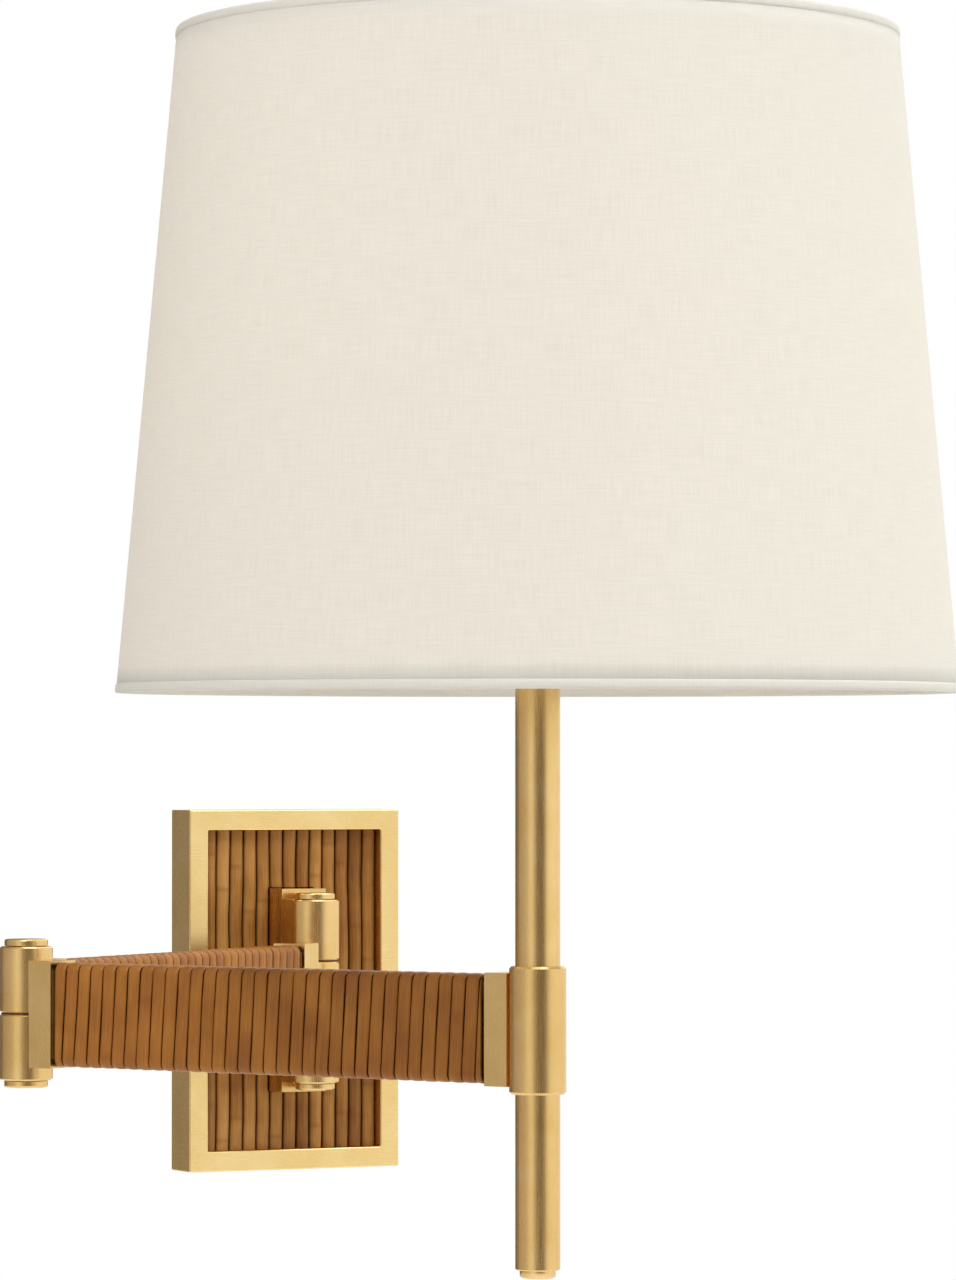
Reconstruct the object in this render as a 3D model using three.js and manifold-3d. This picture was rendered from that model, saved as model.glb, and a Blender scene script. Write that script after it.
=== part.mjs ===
// Swing arm wall sconce: a cane-filled brass wall plate, two rattan-wrapped arms on brass hinges,
// and a brass post that carries a tapered linen shade.
// Millimetres, +Z up. The wall is the plane Y = 0 and the room is towards -Y.
// The origin is the middle of the wall plate, on the wall.
import * as THREE from "three";
import { mergeVertices } from "three/addons/utils/BufferGeometryUtils.js";
import Module from "manifold-3d";

// ---------------------------------------------------------------- driving dimensions

// Wall plate: a brass box frame around a board faced with half-round canes.
const PLATE_WIDTH = 114.3;
const PLATE_HEIGHT = 177.8;
const PLATE_DEPTH = 22;
const PLATE_BORDER = 10;
const PLATE_WALL = 2;
const CANE_COUNT = 13;
const CANES_CUT = 3; // middle canes cut in two by the hinge bracket
const CANE_HEIGHT = 3.6;
const CANE_RECESS = 4.4; // cane crowns, behind the front of the frame
const CANE_GAP = 0.1; // between one cane and the next
const BOARD_THICKNESS = 3;
const BOARD_CLEARANCE = 0.5;

// Steel strap that screws to the junction box; its end tabs take the frame's side screws.
const STRAP_HEIGHT = 24;
const STRAP_THICKNESS = 2.5;
const STRAP_TAB_CLEARANCE = 2; // tab to board
const STRAP_SLOT_LENGTH = 16;
const STRAP_SLOT_WIDTH = 4.6;
const SIDE_SCREW_DIAMETER = 4;
const SIDE_SCREW_LENGTH = 8;
const SIDE_SCREW_HEAD = [7, 1.2]; // diameter, thickness

// Hinge barrels and pins, the same at the wall and at the elbow.
const BARREL_DIAMETER = 24;
const BARREL_CHAMFER = 0.7;
const PIN_DIAMETER = 10;
const PIN_CLEARANCE = 0.06; // radial, pin to bore
const PIN_HEAD_DIAMETER = 19.6;
const PIN_HEAD_HEIGHT = 3;
const KNUCKLE_GAP = 0.8;
const WASHER_THICKNESS = 0.5;
const WASHER_INSET = 0.8; // rim of the washer, inside the barrel
const TURNING_CLEARANCE = 1; // between a barrel and what swings past it

// Wall hinge: a block through the canes carries the two outer knuckles.
const HINGE_REACH = 45; // wall to hinge axis
const WALL_KNUCKLE_LENGTH = 30; // the arm's own knuckle, in the middle
const BRACKET_KNUCKLE_LENGTH = 30; // each of the two outer ones
const BRACKET_STEP = 5; // block above and below the barrel
const BRACKET_SCREW_DIAMETER = 5;
const BRACKET_SCREW_DEPTH = 10; // thread in the block
const BRACKET_SCREW_HEAD = [9, 3];
const BRACKET_SCREW_SPREAD = 32; // above and below the middle
const CANE_CLEARANCE = 0.4; // canes to the bracket block

// Arms: a brass end block at each end of a rectangular tube wrapped in rattan.
const ARM_LENGTH = 286; // axis to axis
const BLOCK_HEIGHT = 48;
const BLOCK_THICKNESS = 17;
const WALL_BLOCK_LENGTH = 15; // block clear of the barrel that it hinges on or sits in
const ELBOW_BLOCK_LENGTH = 9.8;
const COLLAR_BLOCK_LENGTH = 9.9;
const ELBOW_FOLD = 90; // smallest angle between the arms, in degrees
const FOLD_CLEARANCE = 0.15;
const ELBOW_BARREL_STEP = 6; // barrel above and below the blocks
const CORE_WALL = 1.5;
const SPIGOT_LENGTH = 16;
const SPIGOT_CLEARANCE = 0.3;
const WRAP_STEP = [0.3, 0.6]; // winding inside the blocks' sides, and below their edges
const WRAP_DEPTH = [2.2, 3.4]; // rattan over the core's sides, and over its edges
const WRAP_CORNER = 3.5;
const WRAP_CLEARANCE = 0.3;
const WRAP_END_GAP = 2.2; // the recess between block and wrap
const WIRE_BORE = 7;
const LEAD_DIAMETER = 5;

// Collar and post.
const COLLAR_WALL = 2.4;
const COLLAR_STEP = 3; // collar above and below the block
const COLLAR_CHAMFER = 1;
const POST_DIAMETER = 19.05;
const POST_WALL = 1.4;
const POST_CLEARANCE = 0.15;
const POST_BOTTOM = -101; // heights are measured from the middle of the arms
const POST_TOP = 158;
const POST_CAP_DIAMETER = 15.2;
const POST_CAP_HEIGHT = 3.3;
const POST_PLUG_LENGTH = 8;
const SET_SCREW_DIAMETER = 4;
const SET_SCREW_INSET = 0.4; // end of the screw, inside the collar

// Lamp holder, bulb and shade carrier, stacked on the post.
const NIPPLE_DIAMETER = 9.6;
const NIPPLE_BORE = 6.6;
const NIPPLE_RISE = 16; // above the post's flange
const FLANGE_HEIGHT = 3;
const SADDLE_WIDTH = 14;
const SADDLE_THICKNESS = 1.5;
const SADDLE_SPAN = 56;
const SADDLE_RISE = 12;
const SOCKET_WALL = 0.9;
const SOCKET_LINER_GAP = 2.9; // radial, screw shell to socket shell
const SOCKET_CAP_HEIGHT = 20;
const SOCKET_CAP_SHOULDER = [0.6, 0.45]; // share of the radius at its foot, and of the height it widens
const SOCKET_SHELL_HEIGHT = 44;
const MECHANISM_HEIGHT = 22;
const SCREW_SHELL_CLEARANCE = 0.6; // radial, round the bulb's base
const SCREW_SHELL_HEIGHT = 22;
const SCREW_SHELL_WALL = 0.6;
const MECHANISM_CLEARANCE = 0.5;
const KEY_SHAFT_DIAMETER = 4;
const KEY_HOLE_GAP = 0.6; // radial, shaft to shell
const KEY_KNOB_DIAMETER = 12;
const KEY_KNOB_LENGTH = 9;
const KEY_KNOB_NECK = [0.8, 0.3]; // share of the radius at its start, and of the length to full size
const KEY_KNOB_BEVEL = 1;
const KEY_FLAT_START = 3; // round part of the knob, before its flats
const KEY_FLAT_HALF = 3.3; // knob's axis to a flat
const KEY_REACH = 36; // post axis to the outer end of the knob
const BULB_DIAMETER = 60;
const BULB_BASE_DIAMETER = 26;
const BULB_BASE_HEIGHT = 25;
const BULB_CONTACT = [0.4, 5]; // share of the radius at the very bottom, and height of the cone above it
const BULB_GLASS_HEIGHT = 84;
const BULB_SHOULDER = [22, 24]; // how far the neck runs straight up, and the crown straight down
const BULB_WALL = 1;
const HARP_WIRE = 3;
const HARP_WIDTH = 114;
const HARP_LEG = 12; // straight part above the foot
const HARP_BEND = [8, 28]; // outwards and upwards, where the wire leans out
const HARP_BOW = [[0.93, 0.3], [0.98, 0.5], [0.79, 0.8]]; // shares of the half width and of the height
const HARP_CROWN = [0.5, 10]; // share of the half width, and how far below the top
const HARP_STUD_DIAMETER = 6;
const HARP_STUD_HEIGHT = 12;

// Shade.
const SHADE_BOTTOM = 142.5;
const SHADE_HEIGHT = 279.4;
const SHADE_TOP_DIAMETER = 304.8;
const SHADE_BOTTOM_DIAMETER = 355.6;
const SHADE_WALL = 1.2;
const SHADE_WIRE = 3;
const SHADE_WIRE_GAP = 0.4;
const SHADE_EDGE = 2.2; // shade edge to the middle of its wire
const SPIDER_ARMS = 3;
const SPIDER_HUB_DIAMETER = 26;
const SPIDER_HUB_THICKNESS = 1.6;
const SPIDER_ARM_START = 2; // arms' inner ends, inside the hub's rim
const SPIDER_RECESS = 41; // rim of the shade down to the top of the hub
const FINIAL_HEIGHT = 20;
const FINIAL_GAP = 1.2; // the hub's washer
const FINIAL_DIAMETER = 14;
const FINIAL_PROFILE = [[1, 0.1], [0.6, 0.35], [1, 0.6], [0.8, 0.9]]; // shares of radius and height

// Rest pose, in degrees: the inner arm's turn from straight out, then the elbow's bend.
const INNER_ARM_TURN = -52.5;
const ELBOW_BEND = 78.5;

// Clearances used throughout.
const HOLE_CLEARANCE = 0.3; // radial, a screw or nipple in a plain hole
const THREAD_CLEARANCE = 0.05; // radial, a screw in its thread
const STACK_GAP = 0.3; // between pieces that stand on each other
const PAST = 1; // how far a cutting tool runs past what it cuts

const ROUND = 24; // sides of a small turned part
const FINE_ROUND = 48; // sides of the shade
const RING_SIDES = 6; // sides of the section of a shade ring
const BULB_ROUND = 20; // sides of the bulb
const BULB_STEPS = 6; // up the bulb's shoulder
const SMALL_ROUND = 12; // sides of screws and leads
const CORNER_STEPS = 4; // to a quarter turn of a rounded corner
const CANE_STEPS = 8; // over a cane's half round
const WIRE_STEPS = 2; // to a quarter turn of a wire's section
const HARP_STEPS = 48; // along the harp

// ---------------------------------------------------------------- materials

function finish(color, roughness, metalness) {
  return () => new THREE.MeshStandardMaterial({ color, roughness, metalness });
}

const brass = finish(0xc4a468, 0.32, 1);
const steel = finish(0xa9abad, 0.4, 1);
const rattan = finish(0x9a6534, 0.55, 0);
const cane = finish(0x9f6d3c, 0.5, 0);
const timber = finish(0x8a6a48, 0.8, 0);
const nylon = finish(0x2c2824, 0.6, 0);
const phenolic = finish(0x26211f, 0.5, 0);
const lead = finish(0xd8c48a, 0.6, 0);
const opalGlass = finish(0xf7f2e6, 0.25, 0);
const linen = finish(0xe9e3d6, 0.9, 0);

// ---------------------------------------------------------------- solids

const wasm = await Module();
wasm.setup();

// A closed geometry as a solid that can be joined and cut.
function solid(geometry) {
  const bare = geometry.index ? geometry.toNonIndexed() : geometry.clone();
  bare.deleteAttribute("normal");
  bare.deleteAttribute("uv");
  const merged = mergeVertices(bare, 1e-4);
  return new wasm.Manifold(
    new wasm.Mesh({
      numProp: 3,
      vertProperties: merged.attributes.position.array,
      triVerts: new Uint32Array(merged.index.array),
    }),
  );
}

function geometryOf(made) {
  const mesh = made.getMesh();
  const geometry = new THREE.BufferGeometry();
  geometry.setAttribute("position", new THREE.BufferAttribute(mesh.vertProperties, 3));
  geometry.setIndex(new THREE.BufferAttribute(mesh.triVerts, 1));
  geometry.computeVertexNormals();
  return geometry;
}

function joined(...geometries) {
  return geometryOf(geometries.map(solid).reduce((a, b) => a.add(b)));
}

function common(a, b) {
  return geometryOf(solid(a).intersect(solid(b)));
}

function cut(geometry, ...tools) {
  return geometryOf(tools.map(solid).reduce((a, b) => a.subtract(b), solid(geometry)));
}

function box([x0, x1], [y0, y1], [z0, z1]) {
  const made = new THREE.BoxGeometry(x1 - x0, y1 - y0, z1 - z0);
  return made.translate((x0 + x1) / 2, (y0 + y1) / 2, (z0 + z1) / 2);
}

// A profile of [radius, height] points turned about Z. It runs anticlockwise round the section,
// and starts and ends either on the axis or at the same point.
function turned(points, sides = ROUND) {
  const profile = points.map(([r, z]) => new THREE.Vector2(r, z));
  return new THREE.LatheGeometry(profile, sides).rotateX(Math.PI / 2);
}

function rod(radius, [z0, z1], sides = ROUND) {
  return turned([[0, z0], [radius, z0], [radius, z1], [0, z1]], sides);
}

// A rod with a bevel round both ends.
function bevelledRod(radius, [z0, z1], bevel) {
  return turned([
    [0, z0],
    [radius - bevel, z0],
    [radius, z0 + bevel],
    [radius, z1 - bevel],
    [radius - bevel, z1],
    [0, z1],
  ]);
}

function tube(outer, inner, [z0, z1], sides = ROUND) {
  return turned([[inner, z0], [outer, z0], [outer, z1], [inner, z1], [inner, z0]], sides);
}

// The tool for a bore whose flats, not its corners, are at the radius.
function bore(radius, heights, sides = ROUND) {
  return rod(radius / Math.cos(Math.PI / sides), heights, sides);
}

// Turns a shape made along Z so that it lies along +X.
function alongX(geometry) {
  return geometry.rotateY(Math.PI / 2);
}

// Turns a shape made along Z so that it lies along -Y, which points into the room.
function towardsRoom(geometry) {
  return geometry.rotateX(Math.PI / 2);
}

// An outline drawn in (Y, Z) and run along X from x0 to x1.
function extrudedAlongX(outline, [x0, x1]) {
  const options = { depth: x1 - x0, bevelEnabled: false, curveSegments: CORNER_STEPS };
  const made = new THREE.ExtrudeGeometry(outline, options);
  const basis = new THREE.Matrix4().makeBasis(
    new THREE.Vector3(0, 1, 0),
    new THREE.Vector3(0, 0, 1),
    new THREE.Vector3(1, 0, 0),
  );
  return made.applyMatrix4(basis).translate(x0, 0, 0);
}

// A rectangle with round corners, centred on the origin.
function roundedRectangle(width, height, radius) {
  const x = width / 2;
  const y = height / 2;
  const outline = new THREE.Shape();
  outline.absarc(x - radius, y - radius, radius, 0, Math.PI / 2);
  outline.absarc(radius - x, y - radius, radius, Math.PI / 2, Math.PI);
  outline.absarc(radius - x, radius - y, radius, Math.PI, 1.5 * Math.PI);
  outline.absarc(x - radius, radius - y, radius, 1.5 * Math.PI, 2 * Math.PI);
  outline.closePath();
  return outline;
}

// A wire of round section along a curve.
function wire(curve, diameter, steps) {
  const section = new THREE.Shape();
  section.absarc(0, 0, diameter / 2, 0, 2 * Math.PI);
  const options = { steps, extrudePath: curve, curveSegments: WIRE_STEPS, bevelEnabled: false };
  return new THREE.ExtrudeGeometry(section, options);
}

function straightWire(from, to, diameter) {
  return wire(new THREE.LineCurve3(from, to), diameter, 1);
}

function place(group, name, geometry, material) {
  const mesh = new THREE.Mesh(geometry, material());
  mesh.name = name;
  group.add(mesh);
}

// ---------------------------------------------------------------- wall plate

const openingWidth = PLATE_WIDTH - 2 * PLATE_BORDER;
const openingHeight = PLATE_HEIGHT - 2 * PLATE_BORDER;
const boardFront = CANE_HEIGHT + CANE_RECESS - PLATE_DEPTH; // Y of the board's front face
const boardBack = boardFront + BOARD_THICKNESS;
const tabDepth = -boardBack - STRAP_TAB_CLEARANCE;
const sideScrewRadius = SIDE_SCREW_DIAMETER / 2;
const sideScrewDepth = -(tabDepth + STRAP_THICKNESS) / 2; // clear of the strap's flat
const wallBarrelLength = WALL_KNUCKLE_LENGTH + 2 * BRACKET_KNUCKLE_LENGTH;
const bracketHeight = wallBarrelLength + 2 * BRACKET_STEP;
const bracketBlockFront = BARREL_DIAMETER / 2 + TURNING_CLEARANCE - HINGE_REACH;

function centred(size) {
  return [-size / 2, size / 2];
}

// A brass box with a wide front border, whose inner return stops on the board.
function plateFrame() {
  const depths = [-PLATE_DEPTH, 0];
  const inside = [PLATE_WALL - PLATE_DEPTH, PAST];
  const outer = box(centred(PLATE_WIDTH), depths, centred(PLATE_HEIGHT));
  const opening = box(centred(openingWidth), [-PLATE_DEPTH - PAST, PAST], centred(openingHeight));
  const hollow = solid(
    box(centred(PLATE_WIDTH - 2 * PLATE_WALL), inside, centred(PLATE_HEIGHT - 2 * PLATE_WALL)),
  );
  const lip = solid(
    box(
      centred(openingWidth + 2 * PLATE_WALL),
      [-PLATE_DEPTH, boardFront],
      centred(openingHeight + 2 * PLATE_WALL),
    ),
  );
  const screwHole = bore(sideScrewRadius + HOLE_CLEARANCE, centred(PLATE_WIDTH + 2 * PAST), SMALL_ROUND);
  alongX(screwHole).translate(0, sideScrewDepth, 0);
  const made = solid(outer)
    .subtract(hollow.subtract(lip))
    .subtract(solid(opening))
    .subtract(solid(screwHole));
  return geometryOf(made);
}

function backingBoard() {
  const width = PLATE_WIDTH - 2 * (PLATE_WALL + BOARD_CLEARANCE);
  const height = PLATE_HEIGHT - 2 * (PLATE_WALL + BOARD_CLEARANCE);
  const board = box(centred(width), [boardFront, boardBack], centred(height));
  const holes = [-1, 1].map((side) =>
    bore(BRACKET_SCREW_DIAMETER / 2 + HOLE_CLEARANCE, [-PAST, BOARD_THICKNESS + PAST], SMALL_ROUND)
      .rotateX(-Math.PI / 2)
      .translate(0, boardFront, side * BRACKET_SCREW_SPREAD),
  );
  return cut(board, ...holes);
}

// A half-round cane, flat side on the board.
function halfRoundCane(x, heights) {
  const pitch = openingWidth / CANE_COUNT;
  const section = new THREE.Shape();
  section.absellipse(x, boardFront, (pitch - CANE_GAP) / 2, CANE_HEIGHT, Math.PI, 2 * Math.PI);
  section.closePath();
  const depth = heights[1] - heights[0];
  const options = { depth, bevelEnabled: false, curveSegments: CANE_STEPS };
  const made = new THREE.ExtrudeGeometry(section, options);
  return made.translate(0, 0, heights[0]);
}

// The canes fill the opening side by side. The hinge bracket's block cuts the middle ones in two
// and notches the next ones.
function addCanes(group) {
  const pitch = openingWidth / CANE_COUNT;
  const width = BARREL_DIAMETER + 2 * CANE_CLEARANCE;
  const height = bracketHeight + 2 * CANE_CLEARANCE;
  const window = box(centred(width), [-PLATE_DEPTH, 0], centred(height));
  const end = openingHeight / 2 - CANE_GAP;
  for (let i = 0; i < CANE_COUNT; i++) {
    const x = (i - (CANE_COUNT - 1) / 2) * pitch;
    const name = "cane_" + String(i + 1).padStart(2, "0");
    const halfWidth = (pitch - CANE_GAP) / 2;
    const divided = Math.abs(i - (CANE_COUNT - 1) / 2) < CANES_CUT / 2;
    const notched = Math.abs(x) - halfWidth < width / 2;
    if (divided) {
      place(group, name + "_upper", halfRoundCane(x, [height / 2, end]), cane);
      place(group, name + "_lower", halfRoundCane(x, [-end, -height / 2]), cane);
    } else if (notched) {
      place(group, name, cut(halfRoundCane(x, [-end, end]), window), cane);
    } else {
      place(group, name, halfRoundCane(x, [-end, end]), cane);
    }
  }
}

// A flat strap with a slot each side of its solid middle, and a tab bent out at each end.
function mountingStrap() {
  const reach = PLATE_WIDTH / 2 - PLATE_WALL - BOARD_CLEARANCE;
  const heights = centred(STRAP_HEIGHT);
  const strap = box([-reach, reach], [-STRAP_THICKNESS, 0], heights);
  const tabs = [-1, 1].map((side) => {
    const outer = side * reach;
    const inner = side * (reach - STRAP_THICKNESS);
    const span = [Math.min(outer, inner), Math.max(outer, inner)];
    return box(span, [-tabDepth, 0], heights);
  });
  const slots = [-1, 1].map((side) => {
    const middle = side * (reach - STRAP_THICKNESS - STRAP_SLOT_LENGTH);
    const span = [middle - STRAP_SLOT_LENGTH / 2, middle + STRAP_SLOT_LENGTH / 2];
    return box(span, [-STRAP_THICKNESS - PAST, PAST], centred(STRAP_SLOT_WIDTH));
  });
  const thread = bore(sideScrewRadius + THREAD_CLEARANCE, centred(2 * (reach + PAST)), SMALL_ROUND);
  alongX(thread).translate(0, sideScrewDepth, 0);
  return cut(joined(strap, ...tabs), ...slots, thread);
}

// A round-headed screw along Z: the head's underside is at height 0 and the shank runs down.
function screw(diameter, length, [headDiameter, headHeight]) {
  const r = diameter / 2;
  const head = headDiameter / 2;
  const edge = headHeight / 3;
  const shank = [[0, -length], [r, -length], [r, 0]];
  const cap = [[head, 0], [head, headHeight - edge], [head - edge, headHeight], [0, headHeight]];
  return turned([...shank, ...cap], SMALL_ROUND);
}

function addSideScrews(group) {
  const sides = [["left", -1], ["right", 1]];
  for (const [name, side] of sides) {
    const made = screw(SIDE_SCREW_DIAMETER, SIDE_SCREW_LENGTH, SIDE_SCREW_HEAD);
    made.rotateY((side * Math.PI) / 2);
    made.translate((side * PLATE_WIDTH) / 2, sideScrewDepth, 0);
    place(group, "side_screw_" + name, made, brass);
  }
}

// The block that stands through the canes, with the upper and lower knuckles on its front.
function wallBracket() {
  const block = box(centred(BARREL_DIAMETER), [bracketBlockFront, boardFront], centred(bracketHeight));
  const web = box(centred(BARREL_DIAMETER), [-HINGE_REACH, bracketBlockFront], centred(wallBarrelLength));
  const barrel = bevelledRod(BARREL_DIAMETER / 2, centred(wallBarrelLength), BARREL_CHAMFER);
  barrel.translate(0, -HINGE_REACH, 0);
  const gap = box(
    centred(BARREL_DIAMETER + 2 * PAST),
    [-HINGE_REACH - BARREL_DIAMETER, bracketBlockFront],
    centred(WALL_KNUCKLE_LENGTH + KNUCKLE_GAP),
  );
  const pinHole = bore(PIN_DIAMETER / 2 + PIN_CLEARANCE, centred(wallBarrelLength + 2 * PAST));
  pinHole.translate(0, -HINGE_REACH, 0);
  const threads = [-1, 1].map((side) =>
    bore(BRACKET_SCREW_DIAMETER / 2 + THREAD_CLEARANCE, [-PAST, BRACKET_SCREW_DEPTH + PAST], SMALL_ROUND)
      .rotateX(Math.PI / 2)
      .translate(0, boardFront, side * BRACKET_SCREW_SPREAD),
  );
  return cut(joined(block, web, barrel), gap, pinHole, ...threads);
}

function addBracketScrews(group) {
  const sides = [["lower", -1], ["upper", 1]];
  for (const [name, side] of sides) {
    const made = screw(BRACKET_SCREW_DIAMETER, BOARD_THICKNESS + BRACKET_SCREW_DEPTH, BRACKET_SCREW_HEAD);
    made.rotateX(-Math.PI / 2).translate(0, boardBack, side * BRACKET_SCREW_SPREAD);
    place(group, "bracket_screw_" + name, made, steel);
  }
}

// ---------------------------------------------------------------- hinge parts

// A pin with a flat head on top; its lower end stops inside the cap.
function hingePin(barrelLength) {
  const top = barrelLength / 2 + STACK_GAP;
  const bottom = -barrelLength / 2 - STACK_GAP - PIN_HEAD_HEIGHT / 2;
  const r = PIN_DIAMETER / 2;
  const head = PIN_HEAD_DIAMETER / 2;
  return turned([
    [0, bottom],
    [r, bottom],
    [r, top],
    [head, top],
    [head, top + PIN_HEAD_HEIGHT - BARREL_CHAMFER],
    [head - BARREL_CHAMFER, top + PIN_HEAD_HEIGHT],
    [0, top + PIN_HEAD_HEIGHT],
  ]);
}

// The cap that screws on the pin's lower end.
function pinCap(barrelLength) {
  const top = -barrelLength / 2 - STACK_GAP;
  const bottom = top - PIN_HEAD_HEIGHT;
  const socketTop = top - PIN_HEAD_HEIGHT / 2 - PIN_CLEARANCE;
  const r = (PIN_DIAMETER / 2 + PIN_CLEARANCE) / Math.cos(Math.PI / ROUND);
  const head = PIN_HEAD_DIAMETER / 2;
  return turned([
    [0, bottom],
    [head - BARREL_CHAMFER, bottom],
    [head, bottom + BARREL_CHAMFER],
    [head, top],
    [r, top],
    [r, socketTop],
    [0, socketTop],
  ]);
}

function hingeWasher(height) {
  const outer = BARREL_DIAMETER / 2 - WASHER_INSET;
  const inner = PIN_DIAMETER / 2 + 3 * PIN_CLEARANCE;
  return tube(outer, inner, [height - WASHER_THICKNESS / 2, height + WASHER_THICKNESS / 2]);
}

// ---------------------------------------------------------------- arms

// Each arm is drawn along +X, with the axis that carries it at X = 0 and the next at X = ARM_LENGTH.

const elbowBarrelLength = BLOCK_HEIGHT + 2 * ELBOW_BARREL_STEP;
const collarLength = BLOCK_HEIGHT + 2 * COLLAR_STEP;
const wrapThickness = BLOCK_THICKNESS - 2 * WRAP_STEP[0];
const wrapHeight = BLOCK_HEIGHT - 2 * WRAP_STEP[1];
const coreThickness = wrapThickness - 2 * WRAP_DEPTH[0];
const coreHeight = wrapHeight - 2 * WRAP_DEPTH[1];
const blockSides = centred(BLOCK_THICKNESS);
const spigotSides = centred(coreThickness - 2 * CORE_WALL - 2 * SPIGOT_CLEARANCE);
const spigotHeights = centred(coreHeight - 2 * CORE_WALL - 2 * SPIGOT_CLEARANCE);

const wallBlockStart = BARREL_DIAMETER / 2 + TURNING_CLEARANCE;
const wallBlockEnd = wallBlockStart + WALL_BLOCK_LENGTH;
const elbowBlockEnd = BARREL_DIAMETER / 2 + ELBOW_BLOCK_LENGTH;
const collarRadius = POST_DIAMETER / 2 + POST_CLEARANCE + COLLAR_WALL;
const collarBlockEnd = collarRadius + COLLAR_BLOCK_LENGTH;

function armBlock([x0, x1]) {
  return box([x0, x1], blockSides, centred(BLOCK_HEIGHT));
}

function wireBore([x0, x1]) {
  return alongX(bore(WIRE_BORE / 2, [x0, x1], SMALL_ROUND));
}

// Hinge at X = 0: a knuckle between the bracket's two, a neck, and the block clear of the bracket.
function wallEndBlock() {
  const knuckleHeights = centred(WALL_KNUCKLE_LENGTH - KNUCKLE_GAP);
  const knuckle = bevelledRod(BARREL_DIAMETER / 2, knuckleHeights, BARREL_CHAMFER);
  const neck = box([0, wallBlockStart], blockSides, knuckleHeights);
  const spigot = box([wallBlockEnd, wallBlockEnd + SPIGOT_LENGTH], spigotSides, spigotHeights);
  const pinHole = bore(PIN_DIAMETER / 2 + PIN_CLEARANCE, centred(WALL_KNUCKLE_LENGTH));
  const passage = wireBore([0, wallBlockEnd + SPIGOT_LENGTH + PAST]);
  const body = joined(knuckle, neck, armBlock([wallBlockStart, wallBlockEnd]), spigot);
  return cut(body, pinHole, passage);
}

// The part of an elbow block that stays clear of the other arm's when the elbow is fully bent.
function foldWedge() {
  const half = THREE.MathUtils.degToRad(ELBOW_FOLD / 2);
  const apex = FOLD_CLEARANCE / Math.sin(half);
  const spread = (elbowBlockEnd - apex) * Math.tan(half);
  const outline = new THREE.Shape([
    new THREE.Vector2(apex, 0),
    new THREE.Vector2(elbowBlockEnd, -spread),
    new THREE.Vector2(elbowBlockEnd, spread),
  ]);
  const made = new THREE.ExtrudeGeometry(outline, { depth: BLOCK_HEIGHT, bevelEnabled: false });
  return made.translate(0, 0, -BLOCK_HEIGHT / 2);
}

// Hinge at X = 0, block towards +X. The knuckle is the upper (1) or lower (-1) half of the barrel,
// and the block is hollowed round the other half.
function elbowEndBlock(half) {
  const near = (half * KNUCKLE_GAP) / 2;
  const far = (half * elbowBarrelLength) / 2;
  const own = [Math.min(near, far), Math.max(near, far)];
  const others = half > 0 ? [-elbowBarrelLength, near] : [near, elbowBarrelLength];
  const knuckle = bevelledRod(BARREL_DIAMETER / 2, own, BARREL_CHAMFER);
  const clearing = bore(BARREL_DIAMETER / 2 + KNUCKLE_GAP / 2, others);
  const block = cut(common(armBlock([0, elbowBlockEnd]), foldWedge()), clearing);
  const spigot = box([elbowBlockEnd, elbowBlockEnd + SPIGOT_LENGTH], spigotSides, spigotHeights);
  const pinHole = bore(PIN_DIAMETER / 2 + PIN_CLEARANCE, centred(elbowBarrelLength + 2 * PAST));
  const passage = wireBore([0, elbowBlockEnd + SPIGOT_LENGTH + PAST]);
  return cut(joined(knuckle, block, spigot), pinHole, passage);
}

// Post axis at X = 0, block towards +X.
function collarBlock() {
  const sleeve = bevelledRod(collarRadius, centred(collarLength), COLLAR_CHAMFER);
  const spigot = box([collarBlockEnd, collarBlockEnd + SPIGOT_LENGTH], spigotSides, spigotHeights);
  const postHole = bore(POST_DIAMETER / 2 + POST_CLEARANCE, centred(collarLength + 2 * PAST));
  const passage = wireBore([0, collarBlockEnd + SPIGOT_LENGTH + PAST]);
  const thread = bore(SET_SCREW_DIAMETER / 2 + THREAD_CLEARANCE, [-2 * collarRadius, 0], SMALL_ROUND);
  const body = joined(sleeve, armBlock([0, collarBlockEnd]), spigot);
  return cut(body, postHole, passage, alongX(thread));
}

// A headless screw in the back of the collar, bearing on the post.
function setScrew() {
  const span = [POST_DIAMETER / 2 + THREAD_CLEARANCE, collarRadius - SET_SCREW_INSET];
  const made = rod(SET_SCREW_DIAMETER / 2, span, SMALL_ROUND);
  return alongX(made).rotateZ(Math.PI);
}

function armCore([x0, x1]) {
  const outer = box([x0, x1], centred(coreThickness), centred(coreHeight));
  const inner = box(
    [x0 - PAST, x1 + PAST],
    centred(coreThickness - 2 * CORE_WALL),
    centred(coreHeight - 2 * CORE_WALL),
  );
  return cut(outer, inner);
}

function armWrap(span) {
  const outline = roundedRectangle(wrapThickness, wrapHeight, WRAP_CORNER);
  const hole = box(
    [span[0] - PAST, span[1] + PAST],
    centred(coreThickness + 2 * WRAP_CLEARANCE),
    centred(coreHeight + 2 * WRAP_CLEARANCE),
  );
  return cut(extrudedAlongX(outline, span), hole);
}

// Core, wrap and lead between two blocks that end at the given distances from their axes.
function addArmLength(group, name, nearEnd, farEnd, leadEnds) {
  const far = ARM_LENGTH - farEnd;
  place(group, name + "_core", armCore([nearEnd + STACK_GAP, far - STACK_GAP]), brass);
  place(group, name + "_wrap", armWrap([nearEnd + WRAP_END_GAP, far - WRAP_END_GAP]), rattan);
  const cable = alongX(rod(LEAD_DIAMETER / 2, leadEnds, SMALL_ROUND));
  place(group, name + "_lead", cable, lead);
}

// ---------------------------------------------------------------- post and lamp holder

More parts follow.
